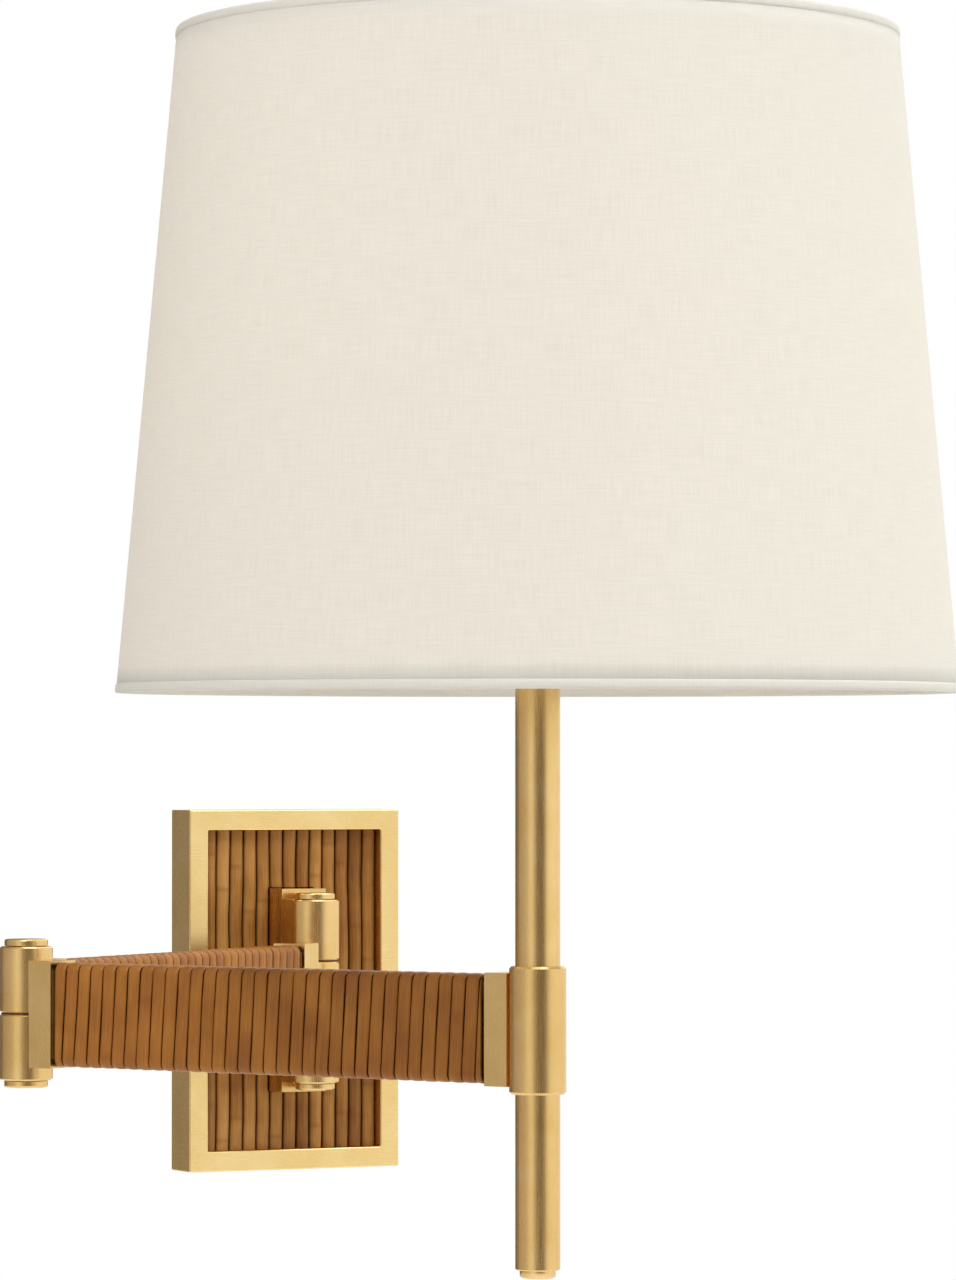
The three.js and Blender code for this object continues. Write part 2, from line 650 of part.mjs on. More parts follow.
const postRadius = POST_DIAMETER / 2;
const flangeTop = POST_TOP + FLANGE_HEIGHT;
const saddleTop = flangeTop + SADDLE_THICKNESS;
const socketBottom = saddleTop + STACK_GAP;
const shellBottom = socketBottom + SOCKET_CAP_HEIGHT + STACK_GAP;
const shellTop = shellBottom + SOCKET_SHELL_HEIGHT;
const mechanismBottom = flangeTop + NIPPLE_RISE + STACK_GAP;
const mechanismTop = mechanismBottom + MECHANISM_HEIGHT;
const screwShellBottom = mechanismTop + STACK_GAP;
const bulbBaseBottom = screwShellBottom + SCREW_SHELL_WALL + STACK_GAP;
const glassBottom = bulbBaseBottom + BULB_BASE_HEIGHT + STACK_GAP;
const screwShellRadius = BULB_BASE_DIAMETER / 2 + SCREW_SHELL_CLEARANCE + SCREW_SHELL_WALL;
const socketRadius = screwShellRadius + SOCKET_LINER_GAP + SOCKET_WALL;
const mechanismRadius = socketRadius - SOCKET_WALL - MECHANISM_CLEARANCE;
const keyHoleEnd = mechanismRadius / 2; // inner end of the key's hole
const keyHeight = (shellBottom + mechanismTop) / 2;
const harpFoot = saddleTop + STACK_GAP;
const shadeTop = SHADE_BOTTOM + SHADE_HEIGHT;
const hubTop = shadeTop - SPIDER_RECESS;
const hubBottom = hubTop - SPIDER_HUB_THICKNESS;
const harpTop = hubBottom - HARP_WIRE / 2 - STACK_GAP;
const harpHeight = harpTop - harpFoot;

function postTube() {
  const made = tube(postRadius, postRadius - POST_WALL, [POST_BOTTOM, POST_TOP]);
  return cut(made, wireBore([0, POST_DIAMETER]).rotateZ(armHeading));
}

function postEndCap() {
  const plug = postRadius - POST_WALL - POST_CLEARANCE;
  const r = POST_CAP_DIAMETER / 2;
  const bottom = POST_BOTTOM - POST_CAP_HEIGHT;
  const bevel = COLLAR_CHAMFER / 2;
  return turned([
    [0, bottom],
    [r - bevel, bottom],
    [r, bottom + bevel],
    [r, POST_BOTTOM],
    [plug, POST_BOTTOM],
    [plug, POST_BOTTOM + POST_PLUG_LENGTH],
    [0, POST_BOTTOM + POST_PLUG_LENGTH],
  ]);
}

// The threaded tube that holds the lamp holder, with a flange that closes the post.
function postNipple() {
  const plug = postRadius - POST_WALL - POST_CLEARANCE;
  const r = NIPPLE_DIAMETER / 2;
  const inner = NIPPLE_BORE / 2;
  return turned([
    [inner, POST_TOP - POST_PLUG_LENGTH],
    [plug, POST_TOP - POST_PLUG_LENGTH],
    [plug, POST_TOP],
    [postRadius, POST_TOP],
    [postRadius, flangeTop],
    [r, flangeTop],
    [r, flangeTop + NIPPLE_RISE],
    [inner, flangeTop + NIPPLE_RISE],
    [inner, POST_TOP - POST_PLUG_LENGTH],
  ]);
}

function harpSaddle() {
  const widths = centred(SADDLE_WIDTH);
  const floor = box(centred(SADDLE_SPAN), widths, [flangeTop, saddleTop]);
  const ears = [-1, 1].map((side) => {
    const outer = (side * SADDLE_SPAN) / 2;
    const inner = outer - side * SADDLE_THICKNESS;
    const span = [Math.min(outer, inner), Math.max(outer, inner)];
    return box(span, widths, [flangeTop, saddleTop + SADDLE_RISE]);
  });
  const hole = bore(NIPPLE_DIAMETER / 2 + HOLE_CLEARANCE, [flangeTop - PAST, saddleTop + PAST]);
  return cut(joined(floor, ...ears), hole);
}

function socketCap() {
  const outer = socketRadius;
  const hole = NIPPLE_DIAMETER / 2 + HOLE_CLEARANCE;
  const top = socketBottom + SOCKET_CAP_HEIGHT;
  const foot = outer * SOCKET_CAP_SHOULDER[0];
  const shoulder = socketBottom + SOCKET_CAP_HEIGHT * SOCKET_CAP_SHOULDER[1];
  return turned([
    [hole, socketBottom],
    [foot, socketBottom],
    [outer, shoulder],
    [outer, top],
    [outer - SOCKET_WALL, top],
    [outer - SOCKET_WALL, shoulder + SOCKET_WALL / 2],
    [foot - SOCKET_WALL / 2, socketBottom + SOCKET_WALL],
    [hole, socketBottom + SOCKET_WALL],
    [hole, socketBottom],
  ]);
}

function socketShell() {
  const outer = socketRadius;
  const hole = bore(KEY_SHAFT_DIAMETER / 2 + KEY_HOLE_GAP, [0, 2 * socketRadius], SMALL_ROUND);
  towardsRoom(hole).translate(0, 0, keyHeight);
  return cut(tube(outer, outer - SOCKET_WALL, [shellBottom, shellTop]), hole);
}

// The switch and contact block, standing on the nipple.
function socketMechanism() {
  const shaftHole = bore(KEY_SHAFT_DIAMETER / 2 + PIN_CLEARANCE, [keyHoleEnd, 2 * socketRadius], SMALL_ROUND);
  towardsRoom(shaftHole).translate(0, 0, keyHeight);
  return cut(rod(mechanismRadius, [mechanismBottom, mechanismTop]), shaftHole);
}

function screwShell() {
  const outer = screwShellRadius;
  const inner = outer - SCREW_SHELL_WALL;
  const floor = screwShellBottom + SCREW_SHELL_WALL;
  const top = screwShellBottom + SCREW_SHELL_HEIGHT;
  return turned([
    [0, screwShellBottom],
    [outer, screwShellBottom],
    [outer, top],
    [inner, top],
    [inner, floor],
    [0, floor],
  ]);
}

// Shaft and knob of the rotary switch, pointing into the room.
function switchKey() {
  const inside = keyHoleEnd + STACK_GAP;
  const shaft = KEY_SHAFT_DIAMETER / 2;
  const knob = KEY_KNOB_DIAMETER / 2;
  const start = KEY_REACH - KEY_KNOB_LENGTH;
  const body = turned([
    [0, inside],
    [shaft, inside],
    [shaft, start],
    [knob * KEY_KNOB_NECK[0], start],
    [knob, start + KEY_KNOB_LENGTH * KEY_KNOB_NECK[1]],
    [knob, KEY_REACH - KEY_KNOB_BEVEL],
    [knob - KEY_KNOB_BEVEL, KEY_REACH],
    [0, KEY_REACH],
  ], SMALL_ROUND);
  const flats = [-1, 1].map((side) => {
    const from = side * KEY_FLAT_HALF;
    const to = side * (knob + PAST);
    const lengths = [start + KEY_FLAT_START, KEY_REACH + PAST];
    return box([Math.min(from, to), Math.max(from, to)], centred(2 * knob), lengths);
  });
  return towardsRoom(cut(body, ...flats)).translate(0, 0, keyHeight);
}

function bulbBase() {
  const r = BULB_BASE_DIAMETER / 2;
  const top = bulbBaseBottom + BULB_BASE_HEIGHT;
  return turned([
    [0, bulbBaseBottom],
    [r * BULB_CONTACT[0], bulbBaseBottom],
    [r, bulbBaseBottom + BULB_CONTACT[1]],
    [r, top],
    [0, top],
  ]);
}

// A pear-shaped shell, open at the neck, whose outline is a neck, a shoulder curve and a round crown.
function bulbGlass() {
  const crown = BULB_DIAMETER / 2;
  const neck = BULB_BASE_DIAMETER / 2;
  const centre = glassBottom + BULB_GLASS_HEIGHT - crown;
  const outline = (inset) => {
    const flank = new THREE.CubicBezierCurve(
      new THREE.Vector2(neck - inset, glassBottom),
      new THREE.Vector2(neck - inset, glassBottom + BULB_SHOULDER[0]),
      new THREE.Vector2(crown - inset, centre - BULB_SHOULDER[1]),
      new THREE.Vector2(crown - inset, centre),
    );
    const top = new THREE.EllipseCurve(0, centre, crown - inset, crown - inset, 0, Math.PI / 2);
    const shoulder = flank.getPoints(BULB_STEPS);
    const dome = top.getPoints(BULB_STEPS - 1).slice(1, -1);
    const curved = [...shoulder, ...dome].map((p) => [p.x, p.y]);
    const mouth = glassBottom - inset;
    return [[0, mouth], [neck - inset, mouth], ...curved, [0, centre + crown - inset]];
  };
  return cut(turned(outline(0), BULB_ROUND), turned(outline(BULB_WALL), BULB_ROUND));
}

// A wire loop that springs from the saddle's ears and meets over the bulb at a threaded stud.
function harp() {
  const foot = SADDLE_SPAN / 2 - SADDLE_THICKNESS - HARP_WIRE / 2 - STACK_GAP;
  const half = [
    [foot, harpFoot],
    [foot, harpFoot + HARP_LEG],
    [foot + HARP_BEND[0], harpFoot + HARP_BEND[1]],
    ...HARP_BOW.map(([x, z]) => [(x * HARP_WIDTH) / 2, harpFoot + z * harpHeight]),
    [(HARP_CROWN[0] * HARP_WIDTH) / 2, harpTop - HARP_CROWN[1]],
  ];
  const points = [...half, [0, harpTop], ...half.slice().reverse().map(([x, z]) => [-x, z])];
  const curve = new THREE.CatmullRomCurve3(points.map(([x, z]) => new THREE.Vector3(x, 0, z)));
  const stud = rod(HARP_STUD_DIAMETER / 2, [harpTop, harpTop + HARP_STUD_HEIGHT], SMALL_ROUND);
  const boss = rod(HARP_STUD_DIAMETER, [harpTop - HARP_WIRE / 2, harpTop + HARP_WIRE / 2], SMALL_ROUND);
  return joined(wire(curve, HARP_WIRE, HARP_STEPS), stud, boss);
}

// ---------------------------------------------------------------- shade

function shadeRadius(height) {
  const along = (height - SHADE_BOTTOM) / SHADE_HEIGHT;
  return (SHADE_BOTTOM_DIAMETER + along * (SHADE_TOP_DIAMETER - SHADE_BOTTOM_DIAMETER)) / 2;
}

function shadeCover() {
  const bottom = SHADE_BOTTOM_DIAMETER / 2;
  const top = SHADE_TOP_DIAMETER / 2;
  return turned(
    [
      [bottom - SHADE_WALL, SHADE_BOTTOM],
      [bottom, SHADE_BOTTOM],
      [top, shadeTop],
      [top - SHADE_WALL, shadeTop],
      [bottom - SHADE_WALL, SHADE_BOTTOM],
    ],
    FINE_ROUND,
  );
}

// Radius of a shade wire's middle, just inside the cover at that height.
function wireRadius(height) {
  const slope = (SHADE_BOTTOM_DIAMETER - SHADE_TOP_DIAMETER) / 2 / SHADE_HEIGHT;
  return shadeRadius(height) - SHADE_WALL - SHADE_WIRE_GAP - (SHADE_WIRE / 2) * (1 + slope);
}

function ring(height) {
  const made = new THREE.TorusGeometry(wireRadius(height), SHADE_WIRE / 2, RING_SIDES, FINE_ROUND);
  return made.translate(0, 0, height);
}

// The shade's carrier: a drilled hub sunk below the top ring, with straight arms out to the ring.
function spider() {
  const height = shadeTop - SHADE_EDGE;
  const hub = tube(SPIDER_HUB_DIAMETER / 2, HARP_STUD_DIAMETER / 2 + HOLE_CLEARANCE, [hubBottom, hubTop]);
  const arms = [];
  for (let i = 0; i < SPIDER_ARMS; i++) {
    const angle = Math.PI / 2 + (i * 2 * Math.PI) / SPIDER_ARMS;
    const at = (radius, z) => new THREE.Vector3(radius * Math.cos(angle), radius * Math.sin(angle), z);
    const inner = at(SPIDER_HUB_DIAMETER / 2 - SPIDER_ARM_START, (hubBottom + hubTop) / 2);
    arms.push(straightWire(inner, at(wireRadius(height), height), SHADE_WIRE));
  }
  return joined(hub, ring(height), ...arms);
}

function finial() {
  const r = FINIAL_DIAMETER / 2;
  const bottom = hubTop + FINIAL_GAP;
  const hole = HARP_STUD_DIAMETER / 2 + HOLE_CLEARANCE;
  const holeTop = harpTop + HARP_STUD_HEIGHT + STACK_GAP;
  return turned([
    [hole, bottom],
    [r, bottom],
    ...FINIAL_PROFILE.map(([x, z]) => [x * r, bottom + z * FINIAL_HEIGHT]),
    [0, bottom + FINIAL_HEIGHT],
    [0, holeTop],
    [hole, holeTop],
    [hole, bottom],
  ]);
}

// ---------------------------------------------------------------- assembly

const degrees = Math.PI / 180;
const innerHeading = (INNER_ARM_TURN - 90) * degrees;
const bend = ELBOW_BEND * degrees;
const armHeading = innerHeading + bend + Math.PI; // from the post back along the outer arm

const sconce = new THREE.Group();
place(sconce, "mounting_strap", mountingStrap(), steel);
place(sconce, "backplate_frame", plateFrame(), brass);
place(sconce, "backing_board", backingBoard(), timber);
addCanes(sconce);
addSideScrews(sconce);
place(sconce, "wall_bracket", wallBracket(), brass);
addBracketScrews(sconce);

const wallHinge = new THREE.Group();
wallHinge.position.set(0, -HINGE_REACH, 0);
sconce.add(wallHinge);
place(wallHinge, "wall_hinge_pin", hingePin(wallBarrelLength), brass);
place(wallHinge, "wall_hinge_cap", pinCap(wallBarrelLength), brass);
place(wallHinge, "wall_washer_lower", hingeWasher(-WALL_KNUCKLE_LENGTH / 2), nylon);
place(wallHinge, "wall_washer_upper", hingeWasher(WALL_KNUCKLE_LENGTH / 2), nylon);

const innerArm = new THREE.Group();
innerArm.rotation.z = innerHeading;
wallHinge.add(innerArm);
const leadStart = BARREL_DIAMETER / 2;
place(innerArm, "inner_arm_wall_block", wallEndBlock(), brass);
addArmLength(innerArm, "inner_arm", wallBlockEnd, elbowBlockEnd, [leadStart, ARM_LENGTH - leadStart]);
const innerElbowBlock = elbowEndBlock(-1).rotateZ(Math.PI).translate(ARM_LENGTH, 0, 0);
place(innerArm, "inner_arm_elbow_block", innerElbowBlock, brass);

const elbow = new THREE.Group();
elbow.position.set(ARM_LENGTH, 0, 0);
innerArm.add(elbow);
place(elbow, "elbow_pin", hingePin(elbowBarrelLength), brass);
place(elbow, "elbow_cap", pinCap(elbowBarrelLength), brass);
place(elbow, "elbow_washer", hingeWasher(0), nylon);

const outerArm = new THREE.Group();
outerArm.rotation.z = bend;
elbow.add(outerArm);
place(outerArm, "outer_arm_elbow_block", elbowEndBlock(1), brass);
const collarLeadEnd = ARM_LENGTH - postRadius + POST_WALL + LEAD_DIAMETER / 2;
addArmLength(outerArm, "outer_arm", elbowBlockEnd, collarBlockEnd, [leadStart, collarLeadEnd]);
place(outerArm, "post_collar", collarBlock().rotateZ(Math.PI).translate(ARM_LENGTH, 0, 0), brass);
place(outerArm, "collar_set_screw", setScrew().rotateZ(Math.PI).translate(ARM_LENGTH, 0, 0), steel);

// The lamp stands square to the wall, whichever way the arms point.
const lamp = new THREE.Group();
lamp.position.set(ARM_LENGTH, 0, 0);
lamp.rotation.z = -innerHeading - bend;
outerArm.add(lamp);
place(lamp, "post_tube", postTube(), brass);
place(lamp, "post_end_cap", postEndCap(), brass);
place(lamp, "post_nipple", postNipple(), brass);
place(lamp, "harp_saddle", harpSaddle(), brass);
place(lamp, "socket_cap", socketCap(), brass);
place(lamp, "socket_shell", socketShell(), brass);
place(lamp, "socket_mechanism", socketMechanism(), phenolic);
place(lamp, "socket_screw_shell", screwShell(), brass);
place(lamp, "switch_key", switchKey(), phenolic);
place(lamp, "bulb_base", bulbBase(), steel);
place(lamp, "bulb_glass", bulbGlass(), opalGlass);
place(lamp, "harp", harp(), brass);
place(lamp, "shade_spider", spider(), brass);
place(lamp, "finial", finial(), brass);
place(lamp, "shade_cover", shadeCover(), linen);
place(lamp, "shade_bottom_ring", ring(SHADE_BOTTOM + SHADE_EDGE), brass);

export default sconce;
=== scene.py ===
# %% [markdown]
# # A swing arm wall sconce
#
# This notebook dresses a measured solid model of a wall lamp: a brass plate faced with split cane,
# two arms wound in flat rattan, brass hinges, and a linen shade on a brass post.
# The solid model already has the right sizes, so every piece made here takes its place from it.
# Lengths are written in millimetres and turned to metres once, where a mesh is made.

# %% Load the solid model
import math
from functools import partial

import bmesh
import bpy
import numpy as np
from mathutils import Matrix, Vector


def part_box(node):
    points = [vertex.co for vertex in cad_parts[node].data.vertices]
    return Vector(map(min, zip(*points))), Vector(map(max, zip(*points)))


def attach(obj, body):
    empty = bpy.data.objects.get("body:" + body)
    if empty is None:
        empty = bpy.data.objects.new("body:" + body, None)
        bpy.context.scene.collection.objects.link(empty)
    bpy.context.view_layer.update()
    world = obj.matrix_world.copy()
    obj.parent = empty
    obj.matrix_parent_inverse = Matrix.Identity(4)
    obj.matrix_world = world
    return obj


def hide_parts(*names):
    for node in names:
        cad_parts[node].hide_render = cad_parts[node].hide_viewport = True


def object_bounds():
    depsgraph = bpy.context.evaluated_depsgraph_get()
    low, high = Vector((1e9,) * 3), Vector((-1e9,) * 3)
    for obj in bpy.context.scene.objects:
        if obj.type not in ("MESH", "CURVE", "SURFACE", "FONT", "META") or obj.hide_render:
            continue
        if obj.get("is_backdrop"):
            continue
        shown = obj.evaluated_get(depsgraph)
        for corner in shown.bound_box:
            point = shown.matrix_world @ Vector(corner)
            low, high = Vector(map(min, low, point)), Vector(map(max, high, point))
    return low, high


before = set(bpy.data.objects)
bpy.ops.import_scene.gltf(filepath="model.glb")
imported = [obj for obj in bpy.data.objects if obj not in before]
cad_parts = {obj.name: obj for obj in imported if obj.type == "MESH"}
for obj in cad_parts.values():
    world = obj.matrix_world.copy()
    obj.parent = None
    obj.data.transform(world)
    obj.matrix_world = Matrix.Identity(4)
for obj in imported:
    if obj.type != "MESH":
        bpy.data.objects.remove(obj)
cad_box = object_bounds()
MM = 0.001
print("solid model:", len(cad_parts), "nodes")

# %% [markdown]
# ## The camera
#
# A lamp on a wall is looked at from a few paces away, with a long lens, so that its upright lines
# stay upright. The camera stands level with the arms, to the left of the lamp, and is tipped up
# by one degree.

# %% Camera
CAMERA_PLACE = Vector((-1.3044, -2.7814, 0.116))
CAMERA_HEADING = math.radians(27)  # to the right of straight at the wall
CAMERA_TIP = math.radians(1.07)
CAMERA_LENS = 173.2  # millimetres, for a 36 mm sensor

camera_data = bpy.data.cameras.new("camera")
camera_data.lens = CAMERA_LENS
camera_data.clip_end = 50
camera = bpy.data.objects.new("camera", camera_data)
bpy.context.scene.collection.objects.link(camera)
bpy.context.scene.camera = camera
look = Vector((math.sin(CAMERA_HEADING), math.cos(CAMERA_HEADING), math.tan(CAMERA_TIP)))
camera.location = CAMERA_PLACE
camera.rotation_euler = look.to_track_quat("-Z", "Y").to_euler()
print("camera looks along", tuple(round(x, 3) for x in look.normalized()))

# %% [markdown]
# ## One function for nodes
#
# Materials and Geometry Nodes trees are both node trees, and both are built the same way: add a
# node, set its options, and give each input either a number or another node's output.
# One small function does that for every node below. A colour ramp's colours come as "stops".

# %% Colours and nodes
def colour(code):
    """An sRGB hex colour, as the linear values that a shader reads."""
    parts = [int(code[i : i + 2], 16) / 255 for i in (1, 3, 5)]
    linear = [c / 12.92 if c <= 0.04045 else ((c + 0.055) / 1.055) ** 2.4 for c in parts]
    return (*linear, 1.0)


def add_node(tree, kind, *inputs, output=None, **settings):
    """Adds a node with its settings and links, and returns the named output, or the first in use.
    Inputs come in the node's own order, or in a dictionary by name: each a value or an output."""
    node = tree.nodes.new(kind)
    for name, value in settings.items():
        if name == "stops":
            ramp = node.color_ramp.elements
            while len(ramp) < len(value):
                ramp.new(0.5)
            for element, (place, code) in zip(ramp, value):
                element.position = place
                element.color = colour(code)
        else:
            setattr(node, name, value)
    named = inputs[0] if inputs and isinstance(inputs[0], dict) else dict(enumerate(inputs))
    for name, value in named.items():
        if isinstance(value, bpy.types.NodeSocket):
            tree.links.new(value, node.inputs[name])
        else:
            node.inputs[name].default_value = value
    if output is not None:
        return node.outputs[output]
    return next((socket for socket in node.outputs if socket.enabled), node)


def new_material(name):
    """An empty node material, and the function that adds a node to it."""
    made = bpy.data.materials.new(name)
    made.use_nodes = True
    made.node_tree.nodes.clear()
    return made, partial(add_node, made.node_tree)


def set_surface(material, shader):
    add_node(material.node_tree, "ShaderNodeOutputMaterial", {"Surface": shader})
    print("material", material.name)
    return material


# %% [markdown]
# ## The room
#
# Satin brass shows whatever is around it, so the light matters more than the metal's own colour.
# Three soft lights hang high up, so that they light the shade and the rattan from the front but
# are not seen in the upright metal.
# Round the room stand pale and dark cards, painted here as a ramp of greys over the compass. Each
# card is one upright band on a tube or a barrel: bright, dark, bright again and dull at the edge.
# Where the camera sees past the lamp, the background is plain white.

# %% Surroundings
ROOM_BRIGHTNESS = 1.45
world = bpy.data.worlds.new("studio")
bpy.context.scene.world = world
world.use_nodes = True
sky = world.node_tree
sky.nodes.clear()
add = partial(add_node, sky)
direction = add("ShaderNodeTexCoord")
turned_sky = add("ShaderNodeVectorRotate", {"Vector": direction, "Angle": math.pi / 2 + CAMERA_HEADING})
around = add("ShaderNodeTexGradient", {"Vector": turned_sky}, gradient_type="RADIAL")
cards = add(
    "ShaderNodeValToRGB",
    {"Fac": around.node.outputs["Fac"]},
    stops=[
        (0.0, "#A19B95"), (0.083, "#6F6862"), (0.144, "#7A726C"), (0.211, "#B2ABA4"), (0.3, "#BDBCB9"),
        (0.344, "#CAC9C6"), (0.383, "#E9ECE7"), (0.422, "#EBEEE9"), (0.461, "#B2ABA4"), (0.494, "#817974"),
        (0.55, "#706964"), (0.589, "#908781"), (0.622, "#D6D9D5"), (0.656, "#F5F8F3"), (0.75, "#FBFEF9"),
        (0.847, "#F5F8F3"),
    ],
)
height = add("ShaderNodeSeparateXYZ", {"Vector": direction}, output="Z")
height_share = add("ShaderNodeMapRange", {"Value": height, "From Min": -1.0, "From Max": 1.0})
walls = add(
    "ShaderNodeValToRGB",
    {"Fac": height_share},
    stops=[(0.0, "#C9C2B8"), (0.45, "#E2DED8"), (0.75, "#FFFFFF"), (1.0, "#FFFFFF")],
)
room = add("ShaderNodeMix", {0: 1.0, 6: cards, 7: walls}, data_type="RGBA", blend_type="MULTIPLY")
room_light = add("ShaderNodeBackground", {"Color": room.node.outputs[2], "Strength": ROOM_BRIGHTNESS})
backdrop = add("ShaderNodeBackground", {"Color": colour("#FFFFFF"), "Strength": 1.0})
seen = add("ShaderNodeLightPath")
mixed_sky = add("ShaderNodeMixShader", seen, room_light, backdrop)
add("ShaderNodeOutputWorld", {"Surface": mixed_sky})
bpy.context.scene.view_settings.view_transform = "Standard"

# %% Lights
LIGHTS = [  # name, place, size in metres, watts, colour
    ("key", (-1.7, -2.2, 2.6), 1.3, 54, "#FFFCF8"),
    ("fill", (1.7, -1.6, 2.4), 1.3, 24, "#FFFEFC"),
    ("top", (0.1, -0.6, 2.6), 1.6, 10, "#FFFFFF"),
]
TARGET = Vector((-0.1, -0.35, 0.12))
for name, place, size, watts, code in LIGHTS:
    data = bpy.data.lights.new(name, "AREA")
    data.shape = "DISK"
    data.size = size
    data.energy = watts
    data.color = colour(code)[:3]
    light = bpy.data.objects.new(name, data)
    light.location = place
    light.rotation_euler = (TARGET - Vector(place)).to_track_quat("-Z", "Y").to_euler()
    bpy.context.scene.collection.objects.link(light)
print(len(LIGHTS), "soft lights")

# %% Floor
FLOOR_DROP = 0.5  # metres below the lamp's lowest point
FLOOR_SIZE = 5.0
floor_material, add = new_material("pale_painted_floor")
place = add("ShaderNodeTexCoord", output="Object")
mottle = add("ShaderNodeTexNoise", {"Vector": place, "Scale": 3.0, "Detail": 2.0})
paint = add("ShaderNodeValToRGB", {"Fac": mottle}, stops=[(0.3, "#F1EFEC"), (0.7, "#F6F5F3")])
set_surface(floor_material, add("ShaderNodeBsdfPrincipled", {"Base Color": paint, "Roughness": 0.8}))

floor_mesh = bpy.data.meshes.new("floor")
half = FLOOR_SIZE / 2
floor_corners = [(-half, -half, 0), (half, -half, 0), (half, half, 0), (-half, half, 0)]
floor_mesh.from_pydata(floor_corners, [], [(0, 1, 2, 3)])
floor_mesh.materials.append(floor_material)
floor = bpy.data.objects.new("floor", floor_mesh)
floor.location = (0, 0, cad_box[0].z - FLOOR_DROP)
bpy.context.scene.collection.objects.link(floor)
floor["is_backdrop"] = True

# %% [markdown]
# ## Brass
#
# The metal is brass that was aged, rubbed by hand and lacquered: warm and a little brown, with a
# soft shine. Rubbing leaves fine streaks along the piece and cloudy patches some centimetres wide.
# A metal's colour is its reflection, so the patches are in the base colour, the streaks are in the
# roughness and in a faint bump, and the metal keeps its default index of refraction.
# The streaks are about 0.4 mm wide, coarser than real ones, so that they show at all.

# %% Satin brass
def satin_brass(name, dark, middle, bright, rough, streak_axis):
    """Hand-rubbed brass whose streaks run along one axis of the lamp."""
    made, add = new_material(name)
    place = add("ShaderNodeTexCoord", output="Object")
    patches = add("ShaderNodeTexNoise", {"Vector": place, "Scale": 38.0, "Detail": 4.0, "Roughness": 0.6})
    tone = add("ShaderNodeValToRGB", {"Fac": patches}, stops=[(0.3, dark), (0.52, middle), (0.74, bright)])
    stretch = [2500.0, 2500.0, 2500.0]  # one streak is about 1/2500 m across
    stretch["XYZ".index(streak_axis)] = 60.0
    along = add("ShaderNodeMapping", {"Vector": place, "Scale": stretch})
    streaks = add("ShaderNodeTexNoise", {"Vector": along, "Scale": 1.0, "Detail": 3.0})
    shine = add(
        "ShaderNodeMapRange",
        {"Value": streaks, "From Min": 0.3, "From Max": 0.7, "To Min": rough - 0.03, "To Max": rough + 0.05},
    )
    ridges = add("ShaderNodeBump", {"Height": streaks, "Strength": 0.06, "Distance": 0.00005})
    shader = add(
        "ShaderNodeBsdfPrincipled",
        {"Base Color": tone, "Metallic": 1.0, "Roughness": shine, "Normal": ridges},
    )
    return set_surface(made, shader)


brass_upright = satin_brass("satin_brass_rubbed_upright", "#DCB878", "#E3C084", "#E9C991", 0.24, "Z")
brass_flat = satin_brass("satin_brass_rubbed_across", "#ECCB8A", "#F2D395", "#F7DBA2", 0.28, "X")
brass_dull = satin_brass("dull_brass_inside", "#8C7248", "#A2865A", "#B59868", 0.45, "X")

# %% [markdown]
# ## Steel, plastics, board and glass
#
# These pieces are small or half hidden, but each still has a finish of its own: zinc has cloudy
# spangles, moulded plastic has a fine pebbled skin, plywood has grain and layers, and opal glass
# is an even milky white with the lamp alight inside.

# %% Zinc-plated steel
zinc_steel, add = new_material("zinc_plated_steel")
place = add("ShaderNodeTexCoord", output="Object")
spangle = add("ShaderNodeTexVoronoi", {"Vector": place, "Scale": 350.0})
tone = add(
    "ShaderNodeValToRGB", {"Fac": spangle}, stops=[(0.1, "#9C9FA3"), (0.5, "#B4B6B8"), (0.9, "#C6C7C7")]
)
shine = add("ShaderNodeMapRange", {"Value": spangle, "To Min": 0.32, "To Max": 0.46})
set_surface(
    zinc_steel, add("ShaderNodeBsdfPrincipled", {"Base Color": tone, "Metallic": 1.0, "Roughness": shine})
)


# %% Moulded plastics and the cable's jacket
def moulded(name, low, high, rough, ior, pebble_mm):
    """A plastic with a fine pebbled skin."""
    made, add = new_material(name)
    place = add("ShaderNodeTexCoord", output="Object")
    pebbles = add("ShaderNodeTexNoise", {"Vector": place, "Scale": 1000 / pebble_mm, "Detail": 2.0})
    tone = add("ShaderNodeValToRGB", {"Fac": pebbles}, stops=[(0.3, low), (0.7, high)])
    skin = add("ShaderNodeBump", {"Height": pebbles, "Strength": 0.2, "Distance": 0.00005})
    shader = add(
        "ShaderNodeBsdfPrincipled", {"Base Color": tone, "Roughness": rough, "IOR": ior, "Normal": skin}
    )
    return set_surface(made, shader)


black_nylon = moulded("black_nylon_washer", "#231F1C", "#322D28", 0.55, 1.53, 0.8)
phenolic = moulded("brown_black_phenolic", "#1F1A18", "#2C2521", 0.32, 1.6, 1.2)
cable_jacket = moulded("gold_cable_jacket", "#CDB878", "#DCCB92", 0.5, 1.53, 0.9)

# %% Plywood
plywood, add = new_material("stained_plywood")
place = add("ShaderNodeTexCoord", output="Object")
grain_place = add("ShaderNodeMapping", {"Vector": place, "Scale": (420.0, 1900.0, 22.0)})
grain = add("ShaderNodeTexNoise", {"Vector": grain_place, "Scale": 1.0, "Detail": 5.0})
tone = add(
    "ShaderNodeValToRGB", {"Fac": grain}, stops=[(0.3, "#5E452C"), (0.55, "#7E6040"), (0.8, "#94744E")]
)
fibre = add("ShaderNodeBump", {"Height": grain, "Strength": 0.3, "Distance": 0.0001})
set_surface(
    plywood,
    add("ShaderNodeBsdfPrincipled", {"Base Color": tone, "Roughness": 0.7, "IOR": 1.5, "Normal": fibre}),
)

